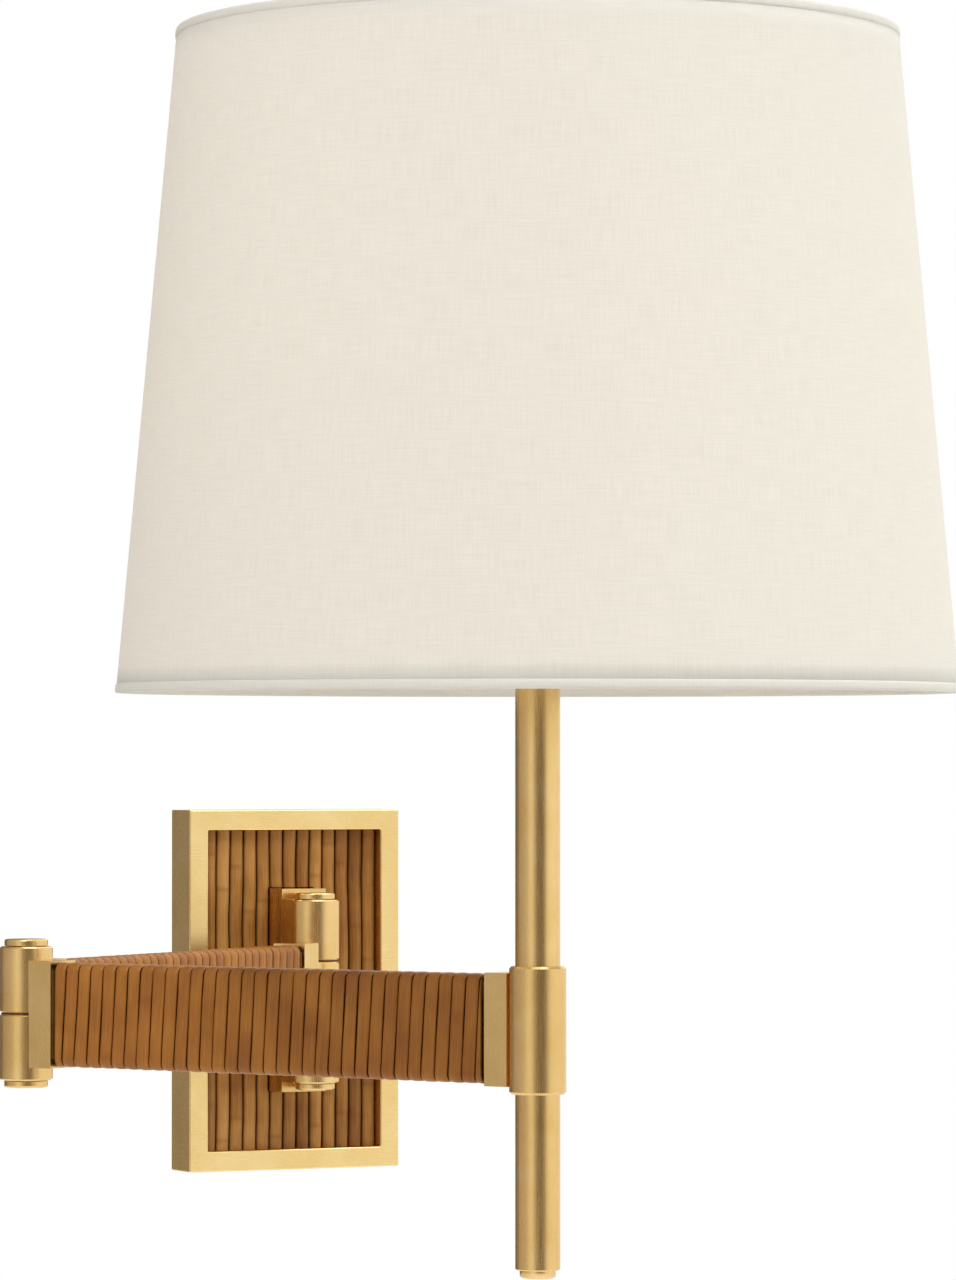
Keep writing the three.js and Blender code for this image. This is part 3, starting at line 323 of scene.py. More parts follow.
# %% Opal glass, alight
BULB_GLOW = 3.6
opal_glass, add = new_material("opal_glass_alight")
place = add("ShaderNodeTexCoord", output="Object")
cloud = add("ShaderNodeTexNoise", {"Vector": place, "Scale": 60.0, "Detail": 2.0})
milk = add("ShaderNodeValToRGB", {"Fac": cloud}, stops=[(0.3, "#F4EFE4"), (0.7, "#FBF8F1")])
set_surface(
    opal_glass,
    add(
        "ShaderNodeBsdfPrincipled",
        {
            "Base Color": milk, "Roughness": 0.22, "IOR": 1.5, "Emission Color": colour("#FFE6BC"),
            "Emission Strength": BULB_GLOW,
        },
    ),
)

# %% [markdown]
# ## Rattan and cane
#
# Both come from the same climbing palm. The arms are wound in flat strands of its glossy skin, and
# the plate is faced with half-round splits of its core. The fibres run along each strand, with a
# darker joint every so often, and the lacquer gathers dark in the gaps. The strands carry a UV
# map that follows them, so the fibres can follow too, and an attribute that is 1 at a joint.
# Fibre bundles are about 0.5 mm wide.

# %% Rattan skin
def lacquered_palm(name, tones, gap, edge, rough, bundle_mm, length_mm):
    """Palm fibre under satin lacquer. It reads the maps "strand", "joint" and "shade_of"."""
    made, add = new_material(name)
    strand = add("ShaderNodeUVMap", uv_map="strand")
    streak_place = add(
        "ShaderNodeMapping", {"Vector": strand, "Scale": (1000 / length_mm, 1000 / bundle_mm, 1.0)}
    )
    streaks = add(
        "ShaderNodeTexNoise", {"Vector": streak_place, "Scale": 1.0, "Detail": 4.0, "Roughness": 0.65}
    )
    own = add("ShaderNodeAttribute", attribute_name="shade_of", output="Fac")
    place = add("ShaderNodeTexCoord", output="Object")
    stain = add("ShaderNodeTexNoise", {"Vector": place, "Scale": 45.0, "Detail": 2.0})
    blend = add("ShaderNodeMath", own, 0.34, -0.17, operation="MULTIPLY_ADD")
    patchy = add("ShaderNodeMath", stain, 0.5, blend, operation="MULTIPLY_ADD")
    level = add("ShaderNodeMath", streaks, 0.55, patchy, operation="MULTIPLY_ADD")
    skin = add("ShaderNodeValToRGB", {"Fac": level}, stops=list(zip((0.3, 0.46, 0.6, 0.78), tones)))
    crown = add("ShaderNodeAttribute", attribute_name="crown", output="Fac")
    depth = add("ShaderNodeMapRange", {"Value": crown, "From Max": edge}, interpolation_type="SMOOTHSTEP")
    edged = add("ShaderNodeMix", {0: depth, 6: colour(gap), 7: skin}, data_type="RGBA", output=2)
    joint = add("ShaderNodeAttribute", attribute_name="joint", output="Fac")
    ring = add("ShaderNodeMath", joint, 0.4, operation="MULTIPLY")
    jointed = add("ShaderNodeMix", {0: ring, 6: edged, 7: colour(tones[0])}, data_type="RGBA", output=2)
    shine = add("ShaderNodeMapRange", {"Value": streaks, "To Min": rough - 0.1, "To Max": rough + 0.12})
    fibre = add("ShaderNodeBump", {"Height": streaks, "Strength": 0.35, "Distance": 0.00015})
    shader = add(
        "ShaderNodeBsdfPrincipled",
        {
            "Base Color": jointed, "Roughness": shine, "IOR": 1.5, "Specular IOR Level": 0.25,
            "Coat Weight": 0.08, "Coat Roughness": 0.2, "Normal": fibre,
        },
    )
    return set_surface(made, shader)


rattan_skin = lacquered_palm(
    "rattan_strand_lacquered", ("#7A4315", "#8B541B", "#9A6222", "#AA722E"), "#63310E", 0.4, 0.42, 0.5, 30
)
split_cane = lacquered_palm(
    "split_cane_lacquered", ("#704216", "#895A27", "#9F6F35", "#B3854A"), "#3D200C", 0.66, 0.4, 0.5, 24
)

# %% [markdown]
# ## Mesh helpers
#
# The brass pieces are blocks and turned parts that were brazed together and eased with a file.
# They are made the same way here: a box and a turned profile are joined or cut with a Boolean
# modifier, the result is frozen into a plain mesh, and a Bevel modifier eases the edges.
# The bevel matters more than it seems, because a bright line along an edge is what makes metal
# look like metal.

# %% Blocks and turned parts
TURNED_SIDES = 96


def mesh_object(name, points, faces):
    """A mesh object from points in millimetres."""
    mesh = bpy.data.meshes.new(name)
    mesh.from_pydata([tuple(c * MM for c in p) for p in points], [], faces)
    made = bpy.data.objects.new(name, mesh)
    bpy.context.scene.collection.objects.link(made)
    return made


def block(x, y, z):
    """A box between (low, high) pairs, in millimetres."""
    points = [(a, b, c) for a in x for b in y for c in z]
    faces = [(0, 1, 3, 2), (4, 6, 7, 5), (0, 4, 5, 1), (2, 3, 7, 6), (0, 2, 6, 4), (1, 5, 7, 3)]
    return mesh_object("block", points, faces)


def both(reach):
    """A span that reaches as far to each side."""
    return (-reach, reach)


def on_circle(centre, radius, angle, z):
    return (centre[0] + radius * math.cos(angle), centre[1] + radius * math.sin(angle), z)


def turned(profile, centre=(0, 0), sides=TURNED_SIDES):
    """A profile of (radius, height) pairs turned about an upright axis. It runs anticlockwise, and
    starts and ends on the axis, or is a closed ring with "ring" as its last item."""
    ring = profile[-1] == "ring"
    profile = profile[:-1] if ring else profile
    points, rows = [], []
    for radius, z in profile:
        if radius < 1e-6:
            rows.append([len(points)] * sides)
            points.append((centre[0], centre[1], z))
        else:
            rows.append(list(range(len(points), len(points) + sides)))
            points += [on_circle(centre, radius, 2 * math.pi * i / sides, z) for i in range(sides)]
    faces = []
    pairs = list(zip(rows, rows[1:] + rows[:1] if ring else rows[1:]))
    for low, high in pairs:
        for i in range(sides):
            j = (i + 1) % sides
            corners = list(dict.fromkeys((low[i], low[j], high[j], high[i])))
            if len(corners) > 2:
                faces.append(corners)
    return mesh_object("turned", points, faces)


def cylinder(radius, low, high, centre=(0, 0), chamfer=0.0):
    """An upright cylinder, with a chamfer at each end if one is given."""
    if chamfer:
        ends = [(radius - chamfer, low), (radius, low + chamfer)]
        tops = [(radius, high - chamfer), (radius - chamfer, high)]
        return turned([(0, low), *ends, *tops, (0, high)], centre)
    return turned([(0, low), (radius, low), (radius, high), (0, high)], centre)


def plain_copy(name, source):
    """The object as it is with its modifiers, as a new object with a plain mesh."""
    depsgraph = bpy.context.evaluated_depsgraph_get()
    mesh = bpy.data.meshes.new_from_object(source.evaluated_get(depsgraph), depsgraph=depsgraph)
    mesh.name = name
    made = bpy.data.objects.new(name, mesh)
    bpy.context.scene.collection.objects.link(made)
    return made


def discard(*objects):
    for o in objects:
        bpy.data.objects.remove(o)


def carved(name, parts, cuts=(), touching=False):
    """Parts joined into one solid, less the cuts. The parts and the cuts are used up. Touching says
    that a part's own shells may run into each other."""
    base, *others = parts
    for operation, tools in (("UNION", others), ("DIFFERENCE", cuts)):
        for tool in tools:
            modifier = base.modifiers.new("carve", "BOOLEAN")
            modifier.operation = operation
            modifier.solver = "EXACT"
            modifier.use_self = touching
            modifier.object = tool
    made = plain_copy(name, base)
    discard(base, *others, *cuts)
    return made


def moved(piece, matrix):
    """Puts a piece in its place by moving its points, so that its object stays at the origin."""
    piece.data.transform(matrix)
    if matrix.determinant() < 0:
        piece.data.flip_normals()
    return piece


def eased(piece, width_mm, segments=3, angle=28):
    """Rounds every edge that is sharper than the angle."""
    modifier = piece.modifiers.new("eased edges", "BEVEL")
    modifier.width = width_mm * MM
    modifier.segments = segments
    modifier.limit_method = "ANGLE"
    modifier.angle_limit = math.radians(angle)
    modifier.harden_normals = True
    modifier.miter_outer = "MITER_ARC"
    piece.data.shade_smooth()
    return piece


def turned_piece(name, profile, centre, ease=0.15):
    """A turned part under its own name, with its edges eased."""
    made = turned(profile, centre)
    made.name = name
    return eased(made, ease, 2)


def dressed(piece, material, body, slot, *nodes):
    """Gives a piece its material, its body, its slot and the solids that it stands for."""
    piece.data.materials.clear()
    piece.data.materials.append(material)
    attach(piece, body)
    if nodes:
        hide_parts(*nodes)
    print(piece.name, "rides on", body, "-", len(piece.data.polygons), "faces")
    return piece


# %% [markdown]
# ## Where the axes are
#
# The arms turn about three upright axes: the wall hinge, the elbow and the post. Their places come
# from the solid model, and each gives a matrix that takes a piece drawn along +X to its arm.

# %% Axes
def middle(node):
    low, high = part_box(node)
    return (low + high) / 2


def corners(node):
    """A solid's lowest and highest corners, in millimetres."""
    return [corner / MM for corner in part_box(node)]


wall_axis = middle("wall_hinge_pin").xy
elbow_axis = middle("elbow_pin").xy
post_axis = middle("post_tube").xy


def arm_matrix(start, end):
    """Takes +X to the direction from start to end, with start at the origin."""
    way = end - start
    turn = Matrix.Rotation(math.atan2(way.y, way.x), 4, "Z")
    return Matrix.Translation((start.x, start.y, 0)) @ turn


wall_to_elbow = arm_matrix(wall_axis, elbow_axis)
elbow_to_wall = arm_matrix(elbow_axis, wall_axis)
elbow_to_post = arm_matrix(elbow_axis, post_axis)
post_to_elbow = arm_matrix(post_axis, elbow_axis)
arm_length = (elbow_axis - wall_axis).length / MM
print("arms are", round(arm_length, 1), "mm from axis to axis")

# %% [markdown]
# ## The wall plate
#
# The plate is a brass box with a wide flat border and a board inside. A stamped or folded box has
# slightly soft corners, and its front edges were filed to a thin bright bevel. It is cut from a
# block: first the hollow behind the border, then the opening for the canes.

# %% Plate frame
FRAME_WALL = 2.0
FRAME_BORDER = 10.0
PAST = 1.0  # how far a cutting block runs past what it cuts
low, high = corners("backplate_frame")
board_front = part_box("backing_board")[0].y / MM
front, back = low.y, high.y
side, top_edge = high.x, high.z
opening = (side - FRAME_BORDER, top_edge - FRAME_BORDER)

hollow = carved(
    "hollow",
    [block(both(side - FRAME_WALL), (front + FRAME_WALL, back + PAST), both(top_edge - FRAME_WALL))],
    [block(both(opening[0] + FRAME_WALL), (front - PAST, board_front), both(opening[1] + FRAME_WALL))],
)
plate_frame = carved(
    "plate_frame",
    [block(both(side), (front, back), both(top_edge))],
    [hollow, block(both(opening[0]), (front - PAST, back + PAST), both(opening[1]))],
)
eased(plate_frame, 0.6)
dressed(plate_frame, brass_flat, "wall_plate", "satin_brass", "backplate_frame")

# %% [markdown]
# ## Split canes
#
# Thirteen half-round canes stand side by side on the board. No two are alike: each wanders a
# little, swells at its joints and has its own tone. That is a rule, so Geometry Nodes make them:
# a grid is rolled into one half-round cane, copied along a line, made real, and only then bent,
# because a copy can't differ from its neighbours until it is real.

# %% Geometry Nodes helpers
def new_tree(name, inputs):
    """An empty tree, the function that adds a node to it, and its inputs by name."""
    tree = bpy.data.node_groups.new(name, "GeometryNodeTree")
    for label, kind in inputs.items():
        tree.interface.new_socket(label, in_out="INPUT", socket_type="NodeSocket" + kind)
    tree.interface.new_socket("Geometry", in_out="OUTPUT", socket_type="NodeSocketGeometry")
    given = tree.nodes.new("NodeGroupInput")
    return tree, partial(add_node, tree), {label: given.outputs[label] for label in inputs}


def add_steps(add, at, *steps):
    """Adds nodes in turn. A step is its result's name, or the names of its first few outputs; the
    node, with its operation if it has one; and its inputs, as values or the names of earlier
    results. The results are kept in at."""

    def known(value):
        return at[value] if isinstance(value, str) else value

    for result, kind, *inputs in steps:
        kind, _, operation = kind.partition(" ")
        settings = {"operation": operation} if operation else {}
        if isinstance(inputs[0], dict):
            inputs = [{name: known(value) for name, value in inputs[0].items()}]
        made = add("ShaderNode" + kind, *map(known, inputs), **settings)
        if isinstance(result, str):
            at[result] = made
        else:
            at.update(zip(result, made.node.outputs))


def end_tree(add, at, geometry):
    """Makes the geometry smooth and real, gives it the material, and sends it out."""
    geometry = add("GeometryNodeSetShadeSmooth", {0: geometry})
    geometry = add("GeometryNodeRealizeInstances", {"Geometry": geometry})
    geometry = add("GeometryNodeSetMaterial", {"Geometry": geometry, "Material": at["Material"]})
    add("NodeGroupOutput", {"Geometry": geometry})


STORE = "GeometryNodeStoreNamedAttribute"
# A grid's short side runs from -0.5 to 0.5. These steps lead it once round a strand's section.
ROUND_SECTION = (
    (("x", "y"), "SeparateXYZ", "place"),
    ("angle", "Math MULTIPLY_ADD", "y", 2 * math.pi, math.pi),
    ("round x", "Math COSINE", "angle"),
    ("round y", "Math SINE", "angle"),
)


def joint_steps(way, width):
    """The result "joint" is 1 at one place on each unit of the way, and falls to 0 beside it."""
    return (
        ("joint", "Math FRACT", way),
        ("joint", "Math SUBTRACT", "joint", 0.5),
        ("joint", "Math DIVIDE", "joint", width),
        ("joint", "Math MULTIPLY", "joint", "joint"),
        ("joint", "Math MULTIPLY", "joint", -1.0),
        ("joint", "Math EXPONENT", "joint"),
    )


def grown(name, tree, values, start=None):
    """Runs a tree once, on a start mesh if it needs one, and returns its result as a plain mesh object."""
    seed_mesh = start or bpy.data.meshes.new(name + "_start")
    holder = bpy.data.objects.new(name + "_start", seed_mesh)
    bpy.context.scene.collection.objects.link(holder)
    modifier = holder.modifiers.new("grow", "NODES")
    modifier.node_group = tree
    sockets = {item.name: item.identifier for item in tree.interface.items_tree if item.in_out == "INPUT"}
    for label, value in values.items():
        modifier[sockets[label]] = value
    holder.update_tag()
    bpy.context.view_layer.update()
    made = plain_copy(name, holder)
    discard(holder)
    return made


# %% Cane tree
CANE_RINGS = 140
CANE_ROUND = 18
CANE_HALF = 0.485  # half a cane's width, as a share of the pitch
WANDER = 0.0022  # metres, from the most to one side to the most to the other
CLOSE = 0.00001  # points nearer than this become one
cane_tree, add, at = new_tree(
    "split_canes",
    {
        "Count": "Int", "Pitch": "Float", "Rise": "Float", "Length": "Float", "Joint Spacing": "Float",
        "Seed": "Float", "Material": "Material",
    },
)
size = {"Size X": 1.0, "Size Y": 1.0, "Vertices X": CANE_RINGS, "Vertices Y": CANE_ROUND}
grid = add("GeometryNodeMeshGrid", size)
at["place"] = add("GeometryNodeInputPosition")
# The rings at both ends shrink to a point at the end's own height, which closes the cane flat.
add_steps(
    add,
    at,
    *ROUND_SECTION,
    ("widened", "Math MULTIPLY", "x", 1.0 + 4.0 / CANE_RINGS),
    ("upright", "Clamp", "widened", -0.5, 0.5),
    ("past end", "Math ABSOLUTE", "widened"),
    ("open ring", "Math LESS_THAN", "past end", 0.5 + 1.0 / CANE_RINGS),
    ("over", "Math MAXIMUM", "round y", 0.0),
    ("half pitch", "Math MULTIPLY", "Pitch", CANE_HALF),
    ("wide", "Math MULTIPLY", "round x", "half pitch"),
    ("wide", "Math MULTIPLY", "wide", "open ring"),
    ("tall", "Math MULTIPLY", "over", "Rise"),
    ("tall", "Math MULTIPLY", "tall", "open ring"),
    ("tall", "Math MULTIPLY", "tall", -1.0),
    ("long", "Math MULTIPLY", "upright", "Length"),
    ("rolled", "CombineXYZ", "wide", "tall", "long"),
    ("flat size", "CombineXYZ", "Length", 0.012),
    ("span", "Math SUBTRACT", "Count", 1.0),
    ("first", "Math MULTIPLY", "span", "Pitch"),
    ("first", "Math MULTIPLY", "first", -0.5),
    ("start", "CombineXYZ", "first"),
    ("step", "CombineXYZ", "Pitch"),
)
# The crown is kept before the grid is rolled, because it is read from the flat grid.
cane = {"Geometry": grid, "Name": "crown", "Value": at["over"]}
cane = add(STORE, cane, data_type="FLOAT", domain="POINT")
cane = add("GeometryNodeSetPosition", {"Geometry": cane, "Position": at["rolled"]})
uv = add("ShaderNodeVectorMath", grid.node.outputs["UV Map"], at["flat size"], operation="MULTIPLY")
cane = {"Geometry": cane, "Name": "strand", "Value": uv}
cane = add(STORE, cane, data_type="FLOAT2", domain="CORNER")
cane = add("GeometryNodeMergeByDistance", {"Geometry": cane, "Distance": CLOSE})
line = {"Count": at["Count"], "Start Location": at["start"], "Offset": at["step"]}
line = add("GeometryNodeMeshLine", line, mode="OFFSET")
row = add("GeometryNodeInstanceOnPoints", {"Points": line, "Instance": cane})
tone = add("FunctionNodeRandomValue", {"Seed": 5}, data_type="FLOAT", output=1)
row = {"Geometry": row, "Name": "shade_of", "Value": tone}
row = add(STORE, row, data_type="FLOAT", domain="INSTANCE")
row = add("GeometryNodeRealizeInstances", {"Geometry": row})

# %% How each cane differs
at["tone"] = add("GeometryNodeInputNamedAttribute", {"Name": "shade_of"}, data_type="FLOAT")
# Neighbours wander together, as canes that were pushed up against each other do.
# A cane may lean over its neighbour's gap, but the outermost ones stay inside the opening.
add_steps(
    add,
    at,
    (("across", "out", "up"), "SeparateXYZ", "place"),
    ("lane", "Math MULTIPLY_ADD", "tone", 40.0, "Seed"),
    ("way", "Math MULTIPLY", "up", 28.0),
    ("path", "CombineXYZ", "way", "lane"),
    ("drift", "CombineXYZ", "across", "Seed", "up"),
    ("wander", "TexNoise", {"Vector": "drift", "Scale": 26.0, "Detail": 1.0}),
    ("sideways", "Math MULTIPLY_ADD", "wander", WANDER, -WANDER / 2),
    ("finer path", "VectorMath SCALE", {0: "path", "Scale": 1.7}),
    ("swell", "TexNoise", {"Vector": "finer path", "Scale": 1.0, "Detail": 1.0}),
    ("joint way", "Math DIVIDE", "up", "Joint Spacing"),
    ("joint way", "Math ADD", "joint way", "lane"),
    *joint_steps("joint way", 0.016),
    ("fuller", "Math MULTIPLY_ADD", "swell", 0.3, -0.2),
    ("fuller", "Math MULTIPLY_ADD", "joint", 0.1, "fuller"),
    ("bulge", "Math MULTIPLY", "fuller", "out"),
    ("off middle", "Math ABSOLUTE", "across"),
    ("free edge", "Math MULTIPLY_ADD", "first", -1.0, "half pitch"),
    ("room left", "Math SUBTRACT", "free edge", "off middle"),
    ("freedom", "MapRange", {"Value": "room left", "From Min": 0.0, "From Max": 0.012}),
    ("sideways", "Math MULTIPLY", "sideways", "freedom"),
    ("shift", "CombineXYZ", "sideways", "bulge"),
)
row = add(STORE, {"Geometry": row, "Name": "joint", "Value": at["joint"]}, data_type="FLOAT", domain="POINT")
row = add("GeometryNodeSetPosition", {"Geometry": row, "Offset": at["shift"]})
end_tree(add, at, row)
print("cane tree has", len(cane_tree.nodes), "nodes")

# %% Canes
CANE_COUNT = 13
cane_names = sorted(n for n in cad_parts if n.startswith("cane_"))
cane_low, cane_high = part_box("cane_01")
cane_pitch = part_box("cane_02")[0].x - cane_low.x
cane_rows = grown(
    "cane_rows",
    cane_tree,
    {
        "Count": CANE_COUNT, "Pitch": cane_pitch, "Rise": (cane_high.y - cane_low.y) * 0.95,
        "Length": cane_high.z - cane_low.z, "Joint Spacing": 0.062, "Seed": 3.7, "Material": split_cane,
    },
)
moved(cane_rows, Matrix.Translation((0, cane_high.y, 0)))

bracket_low, bracket_high = corners("wall_bracket")
CANE_CLEARANCE = 0.3
window = block(
    (bracket_low.x - CANE_CLEARANCE, bracket_high.x + CANE_CLEARANCE),
    (front - PAST, board_front + PAST),
    (bracket_low.z - CANE_CLEARANCE, bracket_high.z + CANE_CLEARANCE),
)
canes = carved("split_canes", [cane_rows], [window], touching=True)
dressed(canes, split_cane, "wall_plate", "split_cane", *cane_names)

# %% [markdown]
# ## Hinges and blocks
#
# The hinge bracket is a tall block that stands through the canes, with the outer knuckles on its
# front. Each arm ends in a brass block, brazed to a knuckle or to the collar round the post.
# Sizes that the solid model's boxes give are read from them; the rest are written here.

# %% Wall bracket
BARREL = 11.95  # radius of the hinge barrels, a hair inside the solid model's
BARREL_CHAMFER = 0.7
PIN = 5.0
PIN_SLACK = 0.06
KNUCKLE_GAP = 0.4  # half the gap between knuckles
WALL_KNUCKLE = 15.0  # half the height of the middle knuckle at the wall
CAP_GAP = 0.3
SUNK = 0.02  # how far one part's face lies under the next part's, so that no two coincide
INTO = 1.0  # how far a web runs into the block behind it
hinge_y = wall_axis.y / MM
bracket_front = hinge_y + BARREL + 1.0
barrel_high = -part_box("wall_hinge_cap")[1].z / MM - CAP_GAP
parts = [block(both(BARREL), (bracket_front, board_front - SUNK), (bracket_low.z, bracket_high.z))]
for sign in (-1, 1):
    ends = sorted((sign * (WALL_KNUCKLE + KNUCKLE_GAP), sign * barrel_high))
    web = (ends[0] + SUNK, ends[1] - SUNK)
    parts.append(cylinder(BARREL, *ends, centre=(0, hinge_y), chamfer=BARREL_CHAMFER))
    parts.append(block(both(BARREL - SUNK), (hinge_y, bracket_front + INTO), web))
pin_way = cylinder(PIN + PIN_SLACK, -barrel_high - PAST, barrel_high + PAST, centre=(0, hinge_y))
bracket = carved("hinge_bracket", parts, [pin_way])
eased(bracket, 0.8)
dressed(bracket, brass_upright, "wall_plate", "satin_brass", "wall_bracket")

# %% Pins and caps
HEAD = 9.8
HEAD_HEIGHT = 3.0
HEAD_EDGE = ((0.0, 0.7), (0.25, 0.3), (0.7, 0.0))  # steps in from the side and from the end
for name, node, cap_node, body, axis in (
    ("wall_pin", "wall_hinge_pin", "wall_hinge_cap", "wall_plate", wall_axis),
    ("elbow_hinge_pin", "elbow_pin", "elbow_cap", "inner_arm", elbow_axis),
):
    centre = tuple(axis / MM)
    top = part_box(node)[1].z / MM
    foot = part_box(cap_node)[0].z / MM
    floor_z = foot + HEAD_HEIGHT / 2  # of the socket in the cap
    edge = [(HEAD - a, top - b) for a, b in HEAD_EDGE]
    shank = [(0, floor_z + 0.1), (PIN, floor_z + 0.1), (PIN, top - HEAD_HEIGHT)]
    pin = turned_piece(name, [*shank, (HEAD, top - HEAD_HEIGHT), *edge, (0, top)], centre, 0.25)
    dressed(pin, brass_upright, body, "satin_brass", node)
    edge = [(HEAD - a, foot + b) for a, b in reversed(HEAD_EDGE)]
    socket = [(PIN + 0.1, foot + HEAD_HEIGHT), (PIN + 0.1, floor_z), (0, floor_z)]
    cap = [(0, foot), *edge, (HEAD, foot + HEAD_HEIGHT), *socket]
    dressed(turned_piece(name + "_cap", cap, centre, 0.25), brass_upright, body, "satin_brass", cap_node)

# %% Arm blocks
BLOCK_SIDE = 8.5
BLOCK_TALL = 24.0
WALL_BLOCK = (13.0, 28.0)
ELBOW_BLOCK = (BLOCK_SIDE + 0.2, 21.8)
COLLAR = 12.075
COLLAR_TALL = 27.0
COLLAR_CHAMFER = 1.0
POST_HOLE = 9.68
COLLAR_BLOCK = (POST_HOLE + 0.5, 21.975)
SPIGOT_LENGTH = 16.0
SPIGOT_SIDE = 4.2
SPIGOT_TALL = 18.2
CABLE_BORE = 3.5  # radius of the cable's passage
BLOCK_EASE = 0.45
elbow_high = -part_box("elbow_cap")[1].z / MM - CAP_GAP


def block_and_spigot(span):
    """A block along the arm, and the tongue that goes into the arm's tube, sunk a little into it."""
    tongue = block((span[1] - 1, span[1] + SPIGOT_LENGTH), both(SPIGOT_SIDE), both(SPIGOT_TALL))
    return [block(span, both(BLOCK_SIDE), both(BLOCK_TALL)), tongue]


def cable_way(span):
    """The passage for the cable, along the arm from its axis to the end of its tongue."""
    bore = cylinder(CABLE_BORE, 0, span[1] + SPIGOT_LENGTH + PAST)
    return moved(bore, Matrix.Rotation(math.pi / 2, 4, "Y"))


def pin_hole(reach):
    return cylinder(PIN + PIN_SLACK, -reach - PAST, reach + PAST)


def arm_block(name, node, body, matrix, span, barrels, cuts):
    """A block with its tongue, joined to the barrels at the arm's axis, less the cuts."""
    wide, tongue = block_and_spigot(span)
    made = moved(carved(name, [wide, *barrels, tongue], [*cuts, cable_way(span)]), matrix)
    eased(made, BLOCK_EASE)
    dressed(made, brass_upright, body, "satin_brass", node)


own = WALL_KNUCKLE - KNUCKLE_GAP
web = block((BARREL / 2, WALL_BLOCK[0] + INTO), both(BLOCK_SIDE - SUNK), both(own - SUNK))
knuckle = cylinder(BARREL, -own, own, chamfer=BARREL_CHAMFER)
arm_block(
    "wall_end_block", "inner_arm_wall_block", "inner_arm", wall_to_elbow, WALL_BLOCK, [knuckle, web],
    [pin_hole(own)],
)

for name, node, body, matrix, sign in (
    ("inner_elbow_block", "inner_arm_elbow_block", "inner_arm", elbow_to_wall, -1),
    ("outer_elbow_block", "outer_arm_elbow_block", "outer_arm", elbow_to_post, 1),
):
    ends = sorted((sign * KNUCKLE_GAP, sign * elbow_high))
    others = sorted((sign * KNUCKLE_GAP, -sign * (elbow_high + PAST)))
    knuckle = cylinder(BARREL, *ends, chamfer=BARREL_CHAMFER)
    cuts = [cylinder(BARREL + KNUCKLE_GAP, *others), pin_hole(elbow_high)]
    arm_block(name, node, body, matrix, ELBOW_BLOCK, [knuckle], cuts)

# The collar is round and goes first, so its block and tongue are joined to it.
wide, tongue = block_and_spigot(COLLAR_BLOCK)
post_hole = cylinder(POST_HOLE, -COLLAR_TALL - PAST, COLLAR_TALL + PAST)
collar = carved(
    "post_collar_block",
    [cylinder(COLLAR, -COLLAR_TALL, COLLAR_TALL, chamfer=COLLAR_CHAMFER), wide, tongue],
    [post_hole, cable_way(COLLAR_BLOCK)],
)
moved(collar, post_to_elbow)
eased(collar, BLOCK_EASE)
dressed(collar, brass_upright, "outer_arm", "satin_brass", "post_collar")

# %% [markdown]
# ## The post
#
# A drawn brass tube, closed below by a turned cap that is a little narrower than the tube.

# %% Post
post_centre = tuple(post_axis / MM)
post_low, post_high = corners("post_tube")
POST_RADIUS = (post_high.x - post_low.x) / 2
POST_WALL = 1.4
POST_EDGE = 0.4
post_profile = [
    (POST_RADIUS - POST_WALL, post_low.z), (POST_RADIUS - POST_EDGE, post_low.z),
    (POST_RADIUS, post_low.z + POST_EDGE), (POST_RADIUS, post_high.z),
    (POST_RADIUS - POST_WALL, post_high.z), "ring",
]
post = turned_piece("post", post_profile, post_centre, 0.2)
dressed(post, brass_upright, "outer_arm", "satin_brass", "post_tube")

cap_low, cap_high = corners("post_end_cap")
CAP_RADIUS = 7.6
CAP_PLUG = 7.9
cap_profile = [
    (0, cap_low.z), (CAP_RADIUS - 1.0, cap_low.z), (CAP_RADIUS - 0.3, cap_low.z + 0.3),
    (CAP_RADIUS, cap_low.z + 1.0), (CAP_RADIUS, post_low.z - SUNK), (CAP_PLUG, post_low.z + SUNK),
    (CAP_PLUG, cap_high.z), (0, cap_high.z),
]
cap = turned_piece("post_cap", cap_profile, post_centre, 0.2)
dressed(cap, brass_upright, "outer_arm", "satin_brass", "post_end_cap")

# %% [markdown]
# ## Rattan winding
#
# Each arm is wound with one long flat strand, edge to edge, that climbs one strand's width on every
# turn. The winding starts and ends in a taper, which gives the wrap its straight ends.
# This is a rule too. A grid's long side becomes the way along the strand, and its short side the
# way round the strand's flat oval section. Sampling a rounded rectangle gives the path round the
# arm; the grid's own number of turns carries it along. Holding every point between the two ends
# of the wrap makes the tapers.

